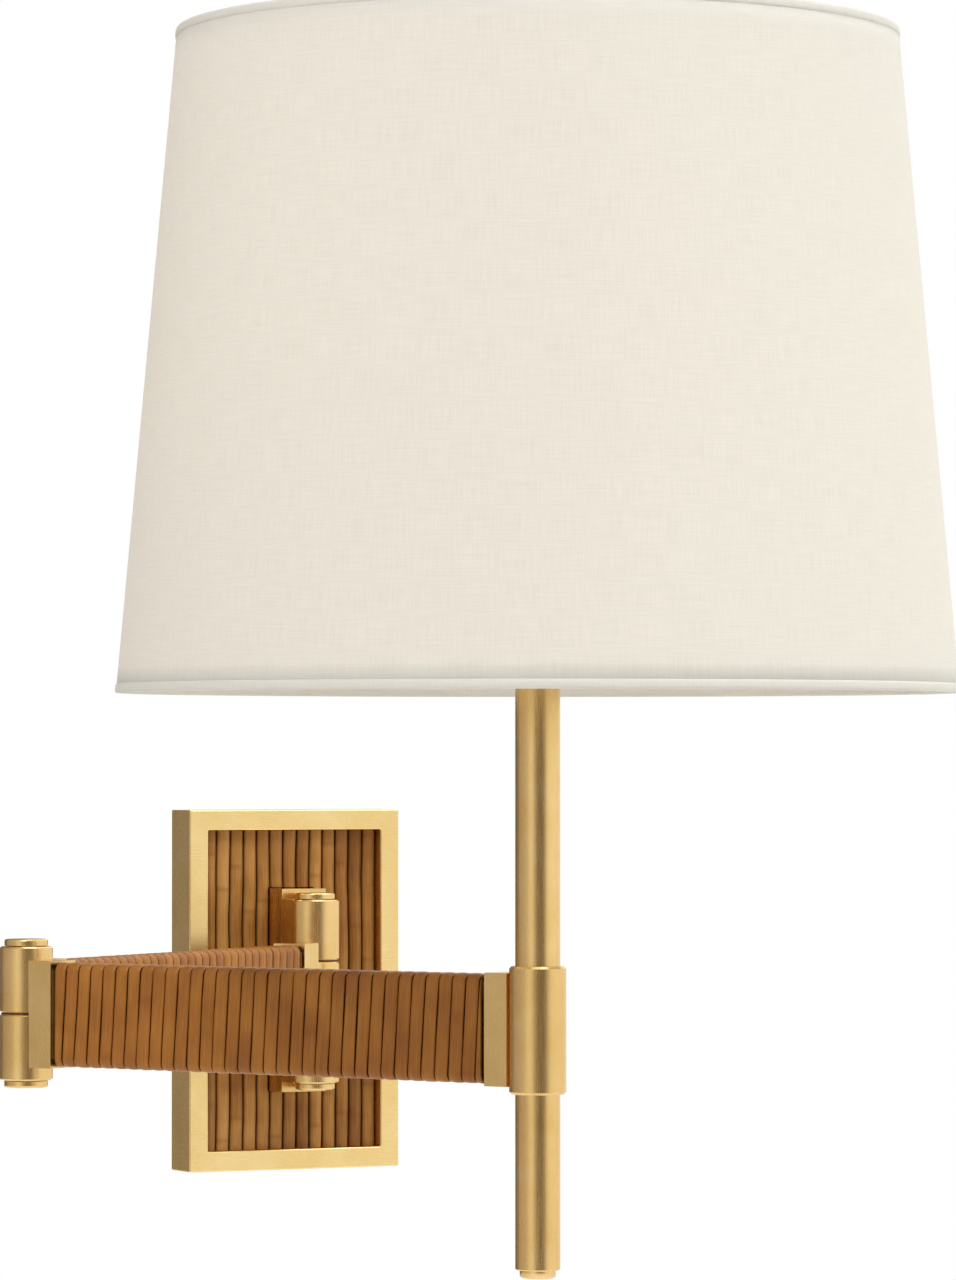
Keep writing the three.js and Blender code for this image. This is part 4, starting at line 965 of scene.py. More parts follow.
# %% Winding tree
STEPS_PER_TURN = 84
STRAND_ROUND = 13
LEAN = 0.0009  # metres, from the most backward to the most forward
TURN_LENGTH = 0.126  # metres of strand in one turn
winding_tree, add, at = new_tree(
    "rattan_winding",
    {
        "Start": "Float", "End": "Float", "Thickness": "Float", "Height": "Float", "Corner": "Float",
        "Pitch": "Float", "Strand Width": "Float", "Strand Rise": "Float", "Steps": "Int", "Seed": "Float",
        "Material": "Material",
    },
)
size = {"Size X": 1.0, "Size Y": 1.0, "Vertices X": at["Steps"], "Vertices Y": STRAND_ROUND}
grid = add("GeometryNodeMeshGrid", size)
at["place"] = add("GeometryNodeInputPosition")
add_steps(
    add,
    at,
    ("shrink", "Math MULTIPLY", "Strand Rise", 2.0),
    ("core wide", "Math SUBTRACT", "Thickness", "shrink"),
    ("core tall", "Math SUBTRACT", "Height", "shrink"),
    ("core corner", "Math SUBTRACT", "Corner", "Strand Rise"),
    ("length", "Math SUBTRACT", "End", "Start"),
    ("turns", "Math ADD", "length", "Strand Width"),
    ("turns", "Math DIVIDE", "turns", "Pitch"),
    *ROUND_SECTION,
    ("share", "Math ADD", "x", 0.5),
    ("turn", "Math MULTIPLY", "share", "turns"),
    ("flatness", "Math ABSOLUTE", "round x"),
    ("flatness", "Math POWER", "flatness", 3.0),
    ("flatness", "Math SUBTRACT", 1.0, "flatness"),
    ("flatness", "Math MAXIMUM", "flatness", 0.0),
    ("dome", "Math SQRT", "flatness"),
    ("outer side", "Math GREATER_THAN", "round y", 0.0),
    ("crown", "Math MULTIPLY", "dome", "outer side"),
    ("lane", "CombineXYZ", "turn", "Seed"),
    ("width noise", "TexNoise", {"Vector": "lane", "Scale": 2.3, "Detail": 1.0}),
    ("lean noise", "TexNoise", {"Vector": "lane", "Scale": 3.1, "Detail": 1.0}),
    ("rise noise", "TexNoise", {"Vector": "lane", "Scale": 1.3, "Detail": 2.0}),
    ("wide", "Math MULTIPLY_ADD", "width noise", 0.12, 0.43),
    ("wide", "Math MULTIPLY", "wide", "Strand Width"),
    ("across", "Math MULTIPLY", "wide", "round x"),
    ("lean", "Math MULTIPLY_ADD", "lean noise", LEAN, -LEAN / 2),
    ("half strand", "Math MULTIPLY", "Strand Width", 0.5),
    ("forward", "Math MULTIPLY", "turn", "Pitch"),
    ("forward", "Math SUBTRACT", "forward", "half strand"),
    ("forward", "Math ADD", "forward", "Start"),
    ("forward", "Math ADD", "forward", "lean"),
    ("forward", "Math ADD", "forward", "across"),
    ("forward", "Clamp", "forward", "Start", "End"),
    # The strand winds left-handed: its way round the outline is run backwards.
    ("way round", "Math MULTIPLY", "turn", -1.0),
    ("way round", "Math FRACT", "way round"),
)
outline = {"Width": at["core wide"], "Height": at["core tall"]}
outline = add("GeometryNodeCurvePrimitiveQuadrilateral", outline)
outline = {"Curve": outline, "Count": 8, "Radius": at["core corner"]}
outline = add("GeometryNodeFilletCurve", outline, mode="POLY")
sample = {"Curves": outline, "Factor": at["way round"]}
sample = add("GeometryNodeSampleCurve", sample, mode="FACTOR", use_all_curves=True).node
at["path place"] = sample.outputs["Position"]
at["tangent"] = sample.outputs["Tangent"]

# %% The strand on its path
add_steps(
    add,
    at,
    ("outward", "VectorMath CROSS_PRODUCT", "tangent", (0.0, 0.0, 1.0)),
    ("facing", "VectorMath DOT_PRODUCT", "outward", "path place"),
    ("facing", "Math SIGN", "facing"),
    ("outward", "VectorMath NORMALIZE", "outward"),
    ("outward", "VectorMath SCALE", {0: "outward", "Scale": "facing"}),
    ("joint way", "Math MULTIPLY_ADD", "turn", 0.31, "Seed"),
    *joint_steps("joint way", 0.006),
    ("thick", "Math MULTIPLY_ADD", "rise noise", 0.5, 0.62),
    ("thick", "Math MULTIPLY_ADD", "joint", 0.12, "thick"),
    ("thick", "Math MULTIPLY", "thick", "Strand Rise"),
    ("lift", "Math MULTIPLY", "crown", "thick"),
    ("step out", "VectorMath SCALE", {0: "outward", "Scale": "lift"}),
    ("ring place", "VectorMath ADD", "path place", "step out"),
    (("ring across", "ring up"), "SeparateXYZ", "ring place"),
    ("wound", "CombineXYZ", "forward", "ring across", "ring up"),
    ("strand length", "Math MULTIPLY", "turns", TURN_LENGTH),
    ("flat size", "CombineXYZ", "strand length", 0.015),
)
uv = add("ShaderNodeVectorMath", grid.node.outputs["UV Map"], at["flat size"], operation="MULTIPLY")
made = add(STORE, {"Geometry": grid, "Name": "strand", "Value": uv}, data_type="FLOAT2", domain="CORNER")
for name, result in (("crown", "crown"), ("joint", "joint"), ("shade_of", "rise noise")):
    made = {"Geometry": made, "Name": name, "Value": at[result]}
    made = add(STORE, made, data_type="FLOAT", domain="POINT")
made = add("GeometryNodeSetPosition", {"Geometry": made, "Position": at["wound"]})
made = add("GeometryNodeMergeByDistance", {"Geometry": made, "Distance": CLOSE})
end_tree(add, at, made)
print("winding tree has", len(winding_tree.nodes), "nodes")

# %% Wind both arms
WRAP_THICKNESS = 16.4
WRAP_HEIGHT = 46.8
WRAP_CORNER = 3.5
WRAP_GAP = 2.2
STRAND_SHARE = 1.0  # strand's width, as a share of the pitch
STRAND_RISE = 1.15
for name, node, body, matrix, start, end, strands, seed in (
    ("inner_winding", "inner_arm_wrap", "inner_arm", wall_to_elbow, WALL_BLOCK[1], ELBOW_BLOCK[1], 32, 1.3),
    ("outer_winding", "outer_arm_wrap", "outer_arm", elbow_to_post, ELBOW_BLOCK[1], COLLAR_BLOCK[1], 33, 6.1),
):
    wrap = (start + WRAP_GAP, arm_length - end - WRAP_GAP)
    pitch = (wrap[1] - wrap[0]) / strands
    winding = grown(
        name,
        winding_tree,
        {
            "Start": wrap[0] * MM, "End": wrap[1] * MM, "Thickness": WRAP_THICKNESS * MM,
            "Height": WRAP_HEIGHT * MM, "Corner": WRAP_CORNER * MM, "Pitch": pitch * MM,
            "Strand Width": pitch * STRAND_SHARE * MM, "Strand Rise": STRAND_RISE * MM,
            "Steps": (strands + 1) * STEPS_PER_TURN, "Seed": seed, "Material": rattan_skin,
        },
    )
    moved(winding, matrix)
    dressed(winding, rattan_skin, body, "rattan_wrap", node)
    print("  strand pitch", round(pitch, 2), "mm")

# %% [markdown]
# ## The linen shade
#
# Off-white linen laminated to a stiff liner, rolled into a cone, lapped at a seam on the wall side
# and turned over a wire at the top and the bottom. It is one sheet, so it is made as one: a grid
# bent round a cone, with a UV map in metres so that the weave has a real size, and a Solidify
# modifier for its thickness.

# %% Linen
THREAD_MM = 0.9  # real threads are half as wide, too fine to show
linen, add = new_material("off_white_linen_laminated")
cloth = add("ShaderNodeUVMap", uv_map="cloth")
thread_turns = 2 * math.pi * 1000 / THREAD_MM
thread_place = add("ShaderNodeVectorMath", {0: cloth, "Scale": thread_turns}, operation="SCALE")
thread_split = add("ShaderNodeSeparateXYZ", {"Vector": thread_place})
warp = add("ShaderNodeMath", thread_split, operation="SINE")
weft = add("ShaderNodeMath", thread_split.node.outputs["Y"], operation="SINE")
weave = add("ShaderNodeMath", warp, weft, operation="ADD")
slubs = []
for stretch in ((1600.0, 70.0, 1.0), (60.0, 1400.0, 1.0)):  # upright and level thick places in the yarn
    slub_place = add("ShaderNodeMapping", {"Vector": cloth, "Scale": stretch})
    slubs.append(add("ShaderNodeTexNoise", {"Vector": slub_place, "Scale": 1.0, "Detail": 3.0}))
slub = add("ShaderNodeMath", slubs[0], slubs[1], operation="ADD")
slub_tone = add("ShaderNodeMath", slub, 0.5, 0.0, operation="MULTIPLY_ADD")
yarn_level = add("ShaderNodeMath", weave, 0.05, slub_tone, operation="MULTIPLY_ADD")
yarn = add(
    "ShaderNodeValToRGB", {"Fac": yarn_level}, stops=[(0.3, "#DFDEDA"), (0.5, "#E8E7E4"), (0.7, "#EEEDEB")]
)
relief = add("ShaderNodeBump", {"Height": yarn_level, "Strength": 0.25, "Distance": 0.0002})
face = add(
    "ShaderNodeBsdfPrincipled",
    {"Base Color": yarn, "Roughness": 0.85, "IOR": 1.5, "Sheen Weight": 0.15, "Normal": relief},
)
through = add("ShaderNodeBsdfTranslucent", {"Color": colour("#F2EADB"), "Normal": relief})
set_surface(linen, add("ShaderNodeMixShader", 0.3, face, through))

# %% Shade cloth
SHADE_SIDES = 240
SHADE_ROWS = 28
SHADE_WALL = 1.0
cover_low, cover_high = corners("shade_cover")
SHADE_FOOT = (cover_high.x - cover_low.x) / 2
SHADE_HEAD = 152.4
shade_tall = cover_high.z - cover_low.z


def cone_radius(z):
    return SHADE_FOOT + (SHADE_HEAD - SHADE_FOOT) * (z - cover_low.z) / shade_tall


def cone_sheet(name, angles, heights, proud=0.0):
    """A sheet on the shade's cone, faces outwards, with a UV map in metres."""
    points = []
    for z in heights:
        radius = cone_radius(z) + proud
        points += [on_circle(post_centre, radius, angle, z) for angle in angles]
    wide = len(angles)
    faces = [
        (row * wide + i, row * wide + i + 1, (row + 1) * wide + i + 1, (row + 1) * wide + i)
        for row in range(len(heights) - 1) for i in range(wide - 1)
    ]
    made = mesh_object(name, points, faces)
    uv = made.data.uv_layers.new(name="cloth")
    middle_radius = (SHADE_FOOT + SHADE_HEAD) / 2 * MM
    for loop in made.data.loops:
        row, i = divmod(loop.vertex_index, wide)
        uv.data[loop.index].uv = (angles[i] * middle_radius, heights[row] * MM)
    return made


def welded(piece):
    """Joins points that lie on each other, such as the two edges of a sheet rolled round."""
    work = bmesh.new()
    work.from_mesh(piece.data)
    bmesh.ops.remove_doubles(work, verts=work.verts, dist=1e-6)
    work.to_mesh(piece.data)
    work.free()
    return piece


SEAM_ANGLE = math.pi / 2  # the wall side
turn_angles = [SEAM_ANGLE + 2 * math.pi * i / SHADE_SIDES for i in range(SHADE_SIDES + 1)]
heights = list(np.linspace(cover_low.z, cover_high.z, SHADE_ROWS + 1))
shade = welded(cone_sheet("shade_cloth", turn_angles, heights))
thickness = shade.modifiers.new("liner", "SOLIDIFY")
thickness.thickness = SHADE_WALL * MM
thickness.offset = -1.0
shade.data.shade_smooth()
dressed(shade, linen, "outer_arm", "shade_linen", "shade_cover")

# %% [markdown]
# At both edges the cloth is folded round a wire and stuck down inside, so the wires don't show.
# Outside, the fold is a narrow band that stands a little proud. The seam is a lap about 10 mm
# wide. Hems and seam are pieces of their own on the sheet.

# %% Hems and seam
HEM_TALL = 3.6
HEM_PROUD = 0.5
FOLD_DEEP = 5.4  # from the outside of the shade in past the wire
FOLD_TALL = 8.5
HEM_RADIUS = 0.165  # metres, the radius at which the hems' weave has its real size
for name, edge, inward in (("shade_hem_bottom", cover_low.z, 1), ("shade_hem_top", cover_high.z, -1)):
    # Each point is how far it lies outside the cone and how far it lies from the shade's edge.
    section = [
        (-FOLD_DEEP + 0.8, -0.35), (-0.3, -0.35), (0.3, 0.0), (HEM_PROUD, 0.8), (HEM_PROUD, HEM_TALL - 1.2),
        (HEM_PROUD * 0.7, HEM_TALL - 0.4), (-0.05, HEM_TALL), (-0.5, HEM_TALL - 0.1), (-0.5, 0.1),
        (-FOLD_DEEP + 0.4, 0.1), (-FOLD_DEEP + 0.2, HEM_TALL + 0.4), (-1.05, FOLD_TALL), (-1.5, FOLD_TALL),
        (-FOLD_DEEP - 0.2, HEM_TALL + 0.6), (-FOLD_DEEP, 0.5),
    ]
    profile = [(cone_radius(edge + inward * rise) + out, edge + inward * rise) for out, rise in section]
    hem = turned([*profile[::inward], "ring"], post_centre, SHADE_SIDES)
    hem.name = name
    uv = hem.data.uv_layers.new(name="cloth")
    for loop in hem.data.loops:
        point = hem.data.vertices[loop.vertex_index].co
        angle = math.atan2(point.y - post_axis.y, point.x - post_axis.x)
        uv.data[loop.index].uv = (angle * HEM_RADIUS, point.z)
    hem.data.shade_smooth()
    dressed(hem, linen, "outer_arm", "shade_linen")

SEAM_HALF = 5.0 / SHADE_FOOT
seam_angles = [SEAM_ANGLE + SEAM_HALF * share for share in (-1.0, -0.9, 0.0, 0.9, 1.0)]
seam_heights = list(np.linspace(cover_low.z + HEM_TALL, cover_high.z - HEM_TALL, SHADE_ROWS))
seam = cone_sheet("shade_seam", seam_angles, seam_heights, 0.5)
lap = seam.modifiers.new("lap", "SOLIDIFY")
lap.thickness = 0.6 * MM
lap.offset = -1.0
dressed(seam, linen, "outer_arm", "shade_linen")

# %% [markdown]
# ## Bent wire
#
# The shade's rings, the carrier's arms and the harp are all round wire bent along a path. One small
# tree sweeps a circle along whatever path it is given, and closes the ends.

# %% Wire tree
wire_tree, add, at = new_tree(
    "bent_wire", {"Path": "Geometry", "Diameter": "Float", "Sides": "Int", "Material": "Material"}
)
path = add("GeometryNodeMeshToCurve", {"Mesh": at["Path"]})
radius = add("ShaderNodeMath", at["Diameter"], 0.5, operation="MULTIPLY")
section = add("GeometryNodeCurvePrimitiveCircle", {"Resolution": at["Sides"], "Radius": radius})
swept = add("GeometryNodeCurveToMesh", {"Curve": path, "Profile Curve": section, "Fill Caps": True})
end_tree(add, at, swept)


def bent_wire(name, lines, diameter_mm, closed=()):
    """Round wire along each line of points, in millimetres. Lines whose number is in closed are loops."""
    points, edges = [], []
    for number, line in enumerate(lines):
        start = len(points)
        points += [tuple(c * MM for c in p) for p in line]
        edges += [(start + i, start + i + 1) for i in range(len(line) - 1)]
        if number in closed:
            edges.append((len(points) - 1, start))
    path_mesh = bpy.data.meshes.new(name + "_path")
    path_mesh.from_pydata(points, edges, [])
    values = {"Diameter": diameter_mm * MM, "Sides": 14, "Material": brass_upright}
    return grown(name, wire_tree, values, path_mesh)


def round_post(radius, z, angle):
    return on_circle(post_centre, radius, angle, z)


# %% Shade rings and carrier
WIRE = 3.0
ring_low, ring_high = corners("shade_bottom_ring")
lower_radius = (ring_high.x - ring_low.x) / 2 - WIRE / 2
circle = [2 * math.pi * i / 180 for i in range(180)]
lower_ring = bent_wire(
    "shade_lower_ring",
    [[round_post(lower_radius, (ring_low.z + ring_high.z) / 2, a) for a in circle]],
    WIRE,
    {0},
)
dressed(lower_ring, brass_upright, "outer_arm", "satin_brass", "shade_bottom_ring")

carrier_low, carrier_high = corners("shade_spider")
upper_radius = (carrier_high.x - carrier_low.x) / 2 - WIRE / 2
upper_z = carrier_high.z - WIRE / 2
HUB_RADIUS = 13.0
HUB_HOLE = 3.3
HUB_TALL = 1.6
hub_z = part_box("finial")[0].z / MM - 1.2
arm_angles = [math.pi / 2 + 2 * math.pi * i / 3 for i in range(3)]
arm_lines = [
    [round_post(HUB_RADIUS - 2, hub_z - HUB_TALL / 2, a), round_post(upper_radius, upper_z, a)]
    for a in arm_angles
]
carrier = bent_wire(
    "shade_carrier_wires", [[round_post(upper_radius, upper_z, a) for a in circle], *arm_lines], WIRE, {0}
)
hub = turned(
    [
        (HUB_HOLE, hub_z - HUB_TALL), (HUB_RADIUS, hub_z - HUB_TALL), (HUB_RADIUS, hub_z), (HUB_HOLE, hub_z),
        "ring",
    ],
    post_centre,
)
carrier = carved("shade_carrier", [carrier, hub], touching=True)
eased(carrier, 0.2, 2)
dressed(carrier, brass_upright, "outer_arm", "satin_brass", "shade_spider")

# %% [markdown]
# ## Lamp holder, bulb, harp and finial
#
# Everything on the post stands in line: a flanged nipple, the saddle that carries the harp, the
# holder's cap and shell, and the bulb. They are turned parts, so each is a profile, and the beads
# on the holder are small steps in that profile. The heights come from the solid model.

# %% Profiles
def heights_of(node):
    low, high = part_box(node)
    return low.z / MM, high.z / MM


def radius_of(node):
    low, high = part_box(node)
    return (high.x - low.x) / 2 / MM


def quarter(start, end, steps=8, flat_first=True):
    """Points from start to end along a quarter of an ellipse, without the two ends."""
    points = []
    for i in range(1, steps):
        angle = math.pi / 2 * i / steps
        a, b = 1 - math.cos(angle), math.sin(angle)
        if flat_first:
            a, b = b, a
        points.append((start[0] + (end[0] - start[0]) * a, start[1] + (end[1] - start[1]) * b))
    return points


def on_post(name, profile, ease=0.15):
    return turned_piece(name, profile, post_centre, ease)


# %% Nipple and saddle
nipple_low, nipple_high = heights_of("post_nipple")
saddle_low, saddle_high = heights_of("harp_saddle")
NIPPLE = 4.8
NIPPLE_INSIDE = 3.3
NIPPLE_PITCH = 1.0
thread = []
turn_z = saddle_low + 0.4
while turn_z < nipple_high - 1.2:
    thread += [(NIPPLE - 0.35, turn_z), (NIPPLE, turn_z + NIPPLE_PITCH / 2)]
    turn_z += NIPPLE_PITCH
nipple = on_post(
    "post_nipple_threaded",
    [
        (NIPPLE_INSIDE, nipple_low), (CAP_PLUG, nipple_low), (CAP_PLUG, post_high.z + SUNK),
        (POST_RADIUS - POST_EDGE, post_high.z + SUNK), (POST_RADIUS, post_high.z + POST_EDGE),
        (POST_RADIUS, saddle_low - 0.7), (POST_RADIUS - 0.7, saddle_low), (NIPPLE, saddle_low), *thread,
        (NIPPLE - 0.4, nipple_high), (NIPPLE_INSIDE, nipple_high), "ring",
    ],
    0.08,
)
dressed(nipple, brass_upright, "outer_arm", "satin_brass", "post_nipple")

SADDLE_REACH = 28.0
SADDLE_HALF = 7.0
SADDLE_SHEET = 1.5
ear = (SADDLE_REACH - SADDLE_SHEET, SADDLE_REACH)
saddle = carved(
    "harp_saddle_bent",
    [
        block(both(SADDLE_REACH), both(SADDLE_HALF), (saddle_low, saddle_low + SADDLE_SHEET)),
        block((-ear[1], -ear[0]), both(SADDLE_HALF), (saddle_low, saddle_high)),
        block(ear, both(SADDLE_HALF), (saddle_low, saddle_high)),
    ],
    [cylinder(NIPPLE + 0.3, saddle_low - PAST, saddle_low + SADDLE_SHEET + PAST)],
)
moved(saddle, Matrix.Translation((post_axis.x, post_axis.y, 0)))
eased(saddle, 0.4)
dressed(saddle, brass_flat, "outer_arm", "satin_brass", "harp_saddle")

# %% Lamp holder
HOLDER = radius_of("socket_shell")
HOLDER_STEP = 0.35  # how far the sides lie inside the beads
HOLDER_SHEET = 0.55
cap_z0, cap_z1 = heights_of("socket_cap")
shell_z0, shell_z1 = heights_of("socket_shell")
foot_radius = HOLDER * 0.6
shoulder_z = cap_z0 + (cap_z1 - cap_z0) * 0.5
holder_side = HOLDER - HOLDER_STEP
inside = holder_side - HOLDER_SHEET
holder_cap = on_post(
    "holder_cap",
    [
        (NIPPLE + 0.3, cap_z0),
        (foot_radius - 2.0, cap_z0),
        (foot_radius, cap_z0 + 0.6),
        *quarter((foot_radius, cap_z0 + 0.6), (holder_side, shoulder_z)),
        (holder_side, shoulder_z),
        (holder_side, cap_z1 - 3.6),
        (HOLDER, cap_z1 - 3.0),
        (HOLDER, cap_z1 - 1.6),
        (holder_side, cap_z1 - 1.0),
        (holder_side, cap_z1),
        (inside, cap_z1),
        (inside, shoulder_z + 0.5),
        (foot_radius - 1.0, cap_z0 + 2.0),
        (NIPPLE + 0.3, cap_z0 + 1.0),
        "ring",
    ],
)
dressed(holder_cap, brass_upright, "outer_arm", "satin_brass", "socket_cap")

key_low, key_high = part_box("switch_key")
key_z = (key_low.z + key_high.z) / 2 / MM
to_room = Matrix.Translation((post_axis.x, post_axis.y, key_z * MM)) @ Matrix.Rotation(math.pi / 2, 4, "X")
shell_part = turned(
    [
        (inside, shell_z0), (holder_side, shell_z0), (holder_side, shell_z0 + 1.0),
        (HOLDER, shell_z0 + 1.6), (HOLDER, shell_z0 + 2.6), (holder_side, shell_z0 + 3.2),
        (holder_side, shell_z1 - 5.0), (HOLDER, shell_z1 - 4.2), (HOLDER, shell_z1 - 3.2),
        (holder_side, shell_z1 - 2.4), (holder_side, shell_z1), (inside, shell_z1), "ring",
    ],
    post_centre,
)
key_hole = moved(cylinder(2.6, 0, HOLDER + 4), to_room)
holder_shell = carved("holder_shell", [shell_part], [key_hole])
eased(holder_shell, 0.15, 2)
dressed(holder_shell, brass_upright, "outer_arm", "satin_brass", "socket_shell")

# %% Switch key
key_reach = -key_low.y / MM + post_axis.y / MM
key_start = -key_high.y / MM + post_axis.y / MM
KNOB = 6.0
knob_start = key_reach - 9.0
key_body = turned(
    [
        (0, key_start),
        (1.95, key_start),
        (1.95, knob_start),
        (KNOB * 0.72, knob_start),
        *quarter((KNOB * 0.72, knob_start), (KNOB, knob_start + 2.8), 6),
        (KNOB, knob_start + 2.8),
        (KNOB, key_reach - 1.2),
        *quarter((KNOB, key_reach - 1.2), (KNOB - 1.2, key_reach), 5, False),
        (KNOB - 1.2, key_reach),
        (0, key_reach),
    ],
    sides=48,
)
flats = [
    block(sorted((side * 3.3, side * (KNOB + 1))), both(KNOB + 1), (knob_start + 3.0, key_reach + 1))
    for side in (-1, 1)
]
key = moved(carved("switch_key_knob", [key_body], flats), to_room)
eased(key, 0.35)
dressed(key, phenolic, "switch_key", "phenolic", "switch_key")

# %% Bulb
base_z0, base_z1 = heights_of("bulb_base")
glass_z0, glass_z1 = heights_of("bulb_glass")
BULB_BASE = radius_of("bulb_base")
BULB = radius_of("bulb_glass")
BULB_PITCH = 3.6
turns = []
turn_z = base_z0 + 6.0
while turn_z < base_z1 - 4.0:
    turns += [(BULB_BASE - 0.9, turn_z), (BULB_BASE - 0.25, turn_z + 0.9), (BULB_BASE, turn_z + 1.5)]
    turns += [(BULB_BASE - 0.25, turn_z + 2.1), (BULB_BASE - 0.9, turn_z + 3.0)]
    turn_z += BULB_PITCH
bulb_cap = on_post(
    "bulb_screw_cap",
    [
        (0, base_z0), (BULB_BASE * 0.34, base_z0), (BULB_BASE * 0.4, base_z0 + 0.8),
        (BULB_BASE * 0.62, base_z0 + 1.6), (BULB_BASE - 0.9, base_z0 + 5.0), *turns,
        (BULB_BASE - 0.3, base_z1 - 1.5), (BULB_BASE - 0.3, base_z1), (0, base_z1),
    ],
    0.1,
)
dressed(bulb_cap, zinc_steel, "outer_arm", "zinc_steel", "bulb_base")

crown_z = glass_z1 - BULB
curve = [(BULB_BASE - 0.4, glass_z0), (BULB_BASE - 0.4, glass_z0 + 22), (BULB, crown_z - 24), (BULB, crown_z)]
flank = []
for i in range(25):
    t = i / 24
    share = ((1 - t) ** 3, 3 * t * (1 - t) ** 2, 3 * t * t * (1 - t), t**3)
    flank.append(tuple(sum(w * p[axis] for w, p in zip(share, curve)) for axis in (0, 1)))
dome = [(BULB * math.cos(a), crown_z + BULB * math.sin(a)) for a in np.linspace(0, math.pi / 2, 20)[1:-1]]
glass = turned([(0, glass_z0), *flank, *dome, (0, glass_z1)], post_centre)
glass.name = "bulb_opal_glass"
glass.data.shade_smooth()
dressed(glass, opal_glass, "outer_arm", "opal_glass", "bulb_glass")

# %% [markdown]
# The harp is one wire, bent by eye over a former, so its path is a smooth curve through a few
# points. It ends in a threaded stud, on which the shade's carrier is held by a turned finial.

# %% Harp and finial
def smooth_path(points, steps=10):
    """Points along a smooth curve through the given ones."""
    given = [Vector(p) for p in points]
    given = [2 * given[0] - given[1], *given, 2 * given[-1] - given[-2]]
    line = []
    for a, b, c, d in zip(given, given[1:], given[2:], given[3:]):
        times = [0.0]
        for p, q in ((a, b), (b, c), (c, d)):
            times.append(times[-1] + math.sqrt((q - p).length))
        t0, t1, t2, t3 = times
        for i in range(steps):
            t = t1 + (t2 - t1) * i / steps
            ab = a.lerp(b, (t - t0) / (t1 - t0))
            bc = b.lerp(c, (t - t1) / (t2 - t1))
            cd = c.lerp(d, (t - t2) / (t3 - t2))
            before = ab.lerp(bc, (t - t0) / (t2 - t0))
            after = bc.lerp(cd, (t - t1) / (t3 - t1))
            line.append(before.lerp(after, (t - t1) / (t2 - t1)))
    return [*line, given[-2]]


STUD = 3.0
STUD_TALL = 12.0
harp_z0, stud_top = heights_of("harp")
harp_top = stud_top - STUD_TALL
harp_rise = harp_top - harp_z0
foot_x = 24.7
half_width = 57.0
side = [
    (foot_x, harp_z0), (foot_x, harp_z0 + 12), (foot_x + 8, harp_z0 + 28),
    (half_width * 0.93, harp_z0 + harp_rise * 0.3), (half_width * 0.98, harp_z0 + harp_rise * 0.5),
    (half_width * 0.79, harp_z0 + harp_rise * 0.8), (half_width * 0.5, harp_top - 10),
]
loop_points = [*side, (0, harp_top), *[(-x, z) for x, z in reversed(side)]]
harp_line = smooth_path([(post_centre[0] + x, post_centre[1], z) for x, z in loop_points])
harp = carved(
    "harp_wire",
    [
        bent_wire("harp_loop", [harp_line], WIRE),
        cylinder(STUD * 2, harp_top - WIRE / 2, harp_top + WIRE / 2, post_centre, 0.4),
        cylinder(STUD, harp_top, stud_top, post_centre, 0.6),
    ],
)
eased(harp, 0.12, 2, 40)
dressed(harp, brass_upright, "outer_arm", "satin_brass", "harp")

finial_z0, finial_z1 = heights_of("finial")
FINIAL = radius_of("finial")
tall = finial_z1 - finial_z0
ball = [
    (FINIAL * math.cos(a), finial_z0 + tall * 0.62 + FINIAL * math.sin(a))
    for a in np.linspace(math.radians(-52), math.pi / 2 - 0.12, 18)
]
finial_profile = [
    (STUD + 0.3, finial_z0), (FINIAL - 0.6, finial_z0), (FINIAL, finial_z0 + 0.6),
    (FINIAL, finial_z0 + 1.6), (FINIAL - 0.8, finial_z0 + 2.4),
    (FINIAL * 0.55, finial_z0 + 3.6), (FINIAL * 0.5, finial_z0 + 5.4),
    *[(r, min(z, finial_z1)) for r, z in ball], (0, finial_z1), (0, stud_top + 0.3),
    (STUD + 0.3, stud_top + 0.3),
]
finial = on_post("finial_turned", [*finial_profile, "ring"], 0.15)
dressed(finial, brass_upright, "outer_arm", "satin_brass", "finial")

# %% [markdown]
# ## Behind the plate
#
# A steel strap screws to the wall, its ends bent out to take the two side screws that hold the
# plate. Two larger screws go through the board into the hinge bracket.

# %% Screws
SCREW_PITCH = 0.8
SLOT_HALF = 0.55


def slotted_screw(name, radius, length, head_radius, head_height, matrix):
    """A round-headed screw with a slot. Drawn with its head up, then turned to its place."""
    rings = []
    z = -length + 1.2
    while z < -1.4:
        rings += [(radius - 0.3, z), (radius, z + 0.35), (radius - 0.3, z + 0.7)]
        z += SCREW_PITCH
    tip = [(0, -length), (radius - 0.7, -length), (radius - 0.3, -length + 0.5)]
    shank = [*tip, *rings, (radius - 0.2, -0.6)]
    edge = (head_radius, head_height * 0.4)
    top = (head_radius * 0.35, head_height)
    head = [(radius - 0.2, 0), (head_radius, 0), edge, *quarter(edge, top, 7, False), top, (0, head_height)]
    body = turned([*shank, *head], sides=48)
    slot = block(both(SLOT_HALF), both(head_radius + 1), (head_height * 0.5, head_height + 1))
    made = moved(carved(name, [body], [slot]), matrix)
    return eased(made, 0.08, 2, 40)


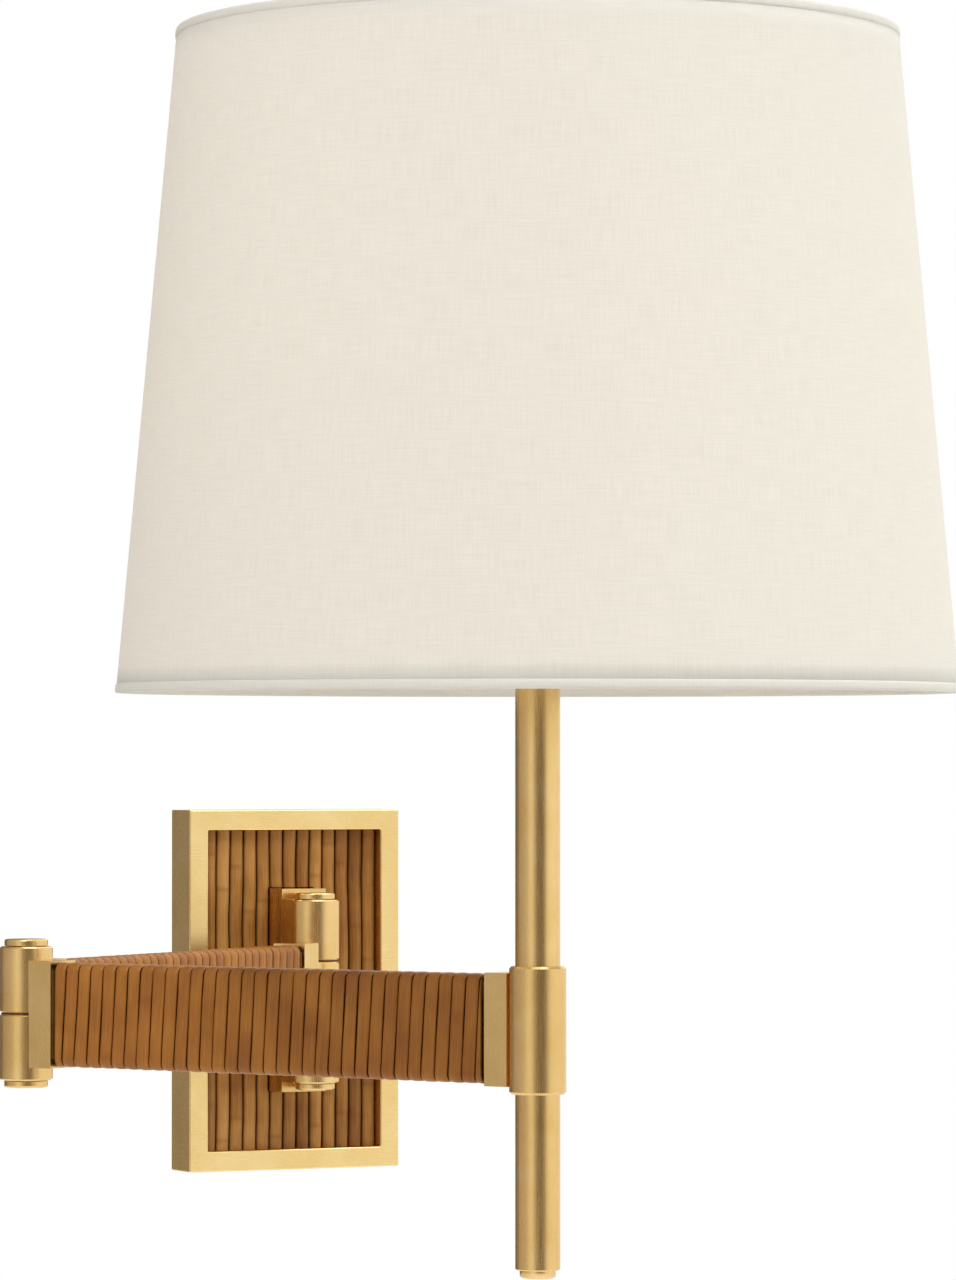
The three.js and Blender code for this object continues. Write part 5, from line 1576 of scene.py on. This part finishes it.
plate_half = (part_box("backplate_frame")[1].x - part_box("backplate_frame")[0].x) / 2
for name, sign in (("left", -1), ("right", 1)):
    place = middle("side_screw_" + name)
    turn = Matrix.Rotation(sign * math.pi / 2, 4, "Y")
    matrix = Matrix.Translation((sign * plate_half, place.y, place.z)) @ turn
    screw = slotted_screw("plate_screw_" + name, 2.0, 8.0, 3.5, 1.2, matrix)
    dressed(screw, brass_upright, "wall_plate", "satin_brass", "side_screw_" + name)
for name in ("lower", "upper"):
    node = "bracket_screw_" + name
    place = middle(node)
    head_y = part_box(node)[1].y - 3.0 * MM
    shank = (head_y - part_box(node)[0].y) / MM
    matrix = Matrix.Translation((place.x, head_y, place.z)) @ Matrix.Rotation(-math.pi / 2, 4, "X")
    screw = slotted_screw("hinge_screw_" + name, 2.5, shank, 4.5, 3.0, matrix)
    dressed(screw, zinc_steel, "wall_plate", "zinc_steel", node)

# %% Strap
strap_low, strap_high = corners("mounting_strap")
reach, strap_half = strap_high.x, strap_high.z
STRAP_SHEET = 2.5
STRAP_SLOT = 2.3  # half the height of a slot
slot_middle = reach - STRAP_SHEET - 16.0
strap_screw_y = middle("side_screw_left").y / MM
cuts = [
    block((sign * slot_middle - 8, sign * slot_middle + 8), (-STRAP_SHEET - 1, 1), both(STRAP_SLOT))
    for sign in (-1, 1)
]
thread_hole = cylinder(2.05, -reach - 1, reach + 1)
moved(thread_hole, Matrix.Translation((0, strap_screw_y * MM, 0)) @ Matrix.Rotation(math.pi / 2, 4, "Y"))
strap = carved(
    "wall_strap_bent",
    [
        block(both(reach), (-STRAP_SHEET, 0), both(strap_half)),
        block((-reach, -reach + STRAP_SHEET), (strap_low.y, 0), both(strap_half)),
        block((reach - STRAP_SHEET, reach), (strap_low.y, 0), both(strap_half)),
    ],
    [*cuts, thread_hole],
)
eased(strap, 0.35)
dressed(strap, zinc_steel, "wall_plate", "zinc_steel", "mounting_strap")

# %% [markdown]
# ## Pieces that keep the shape of the solid model
#
# What is left is hidden or plain: the arms' tubes, leads, washers and the like. Their shapes are
# right already, so they only get their materials.

# %% Remaining pieces
KEPT = {
    "backing_board": plywood, "wall_washer_lower": black_nylon, "wall_washer_upper": black_nylon,
    "elbow_washer": black_nylon, "inner_arm_core": brass_dull, "outer_arm_core": brass_dull,
    "inner_arm_lead": cable_jacket, "outer_arm_lead": cable_jacket, "collar_set_screw": zinc_steel,
    "socket_mechanism": phenolic, "socket_screw_shell": brass_dull,
}
for node, material in KEPT.items():
    for material_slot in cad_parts[node].material_slots:
        material_slot.material = material
print(len(KEPT), "pieces keep their shape")

# %% Sizes and finish
low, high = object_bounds()
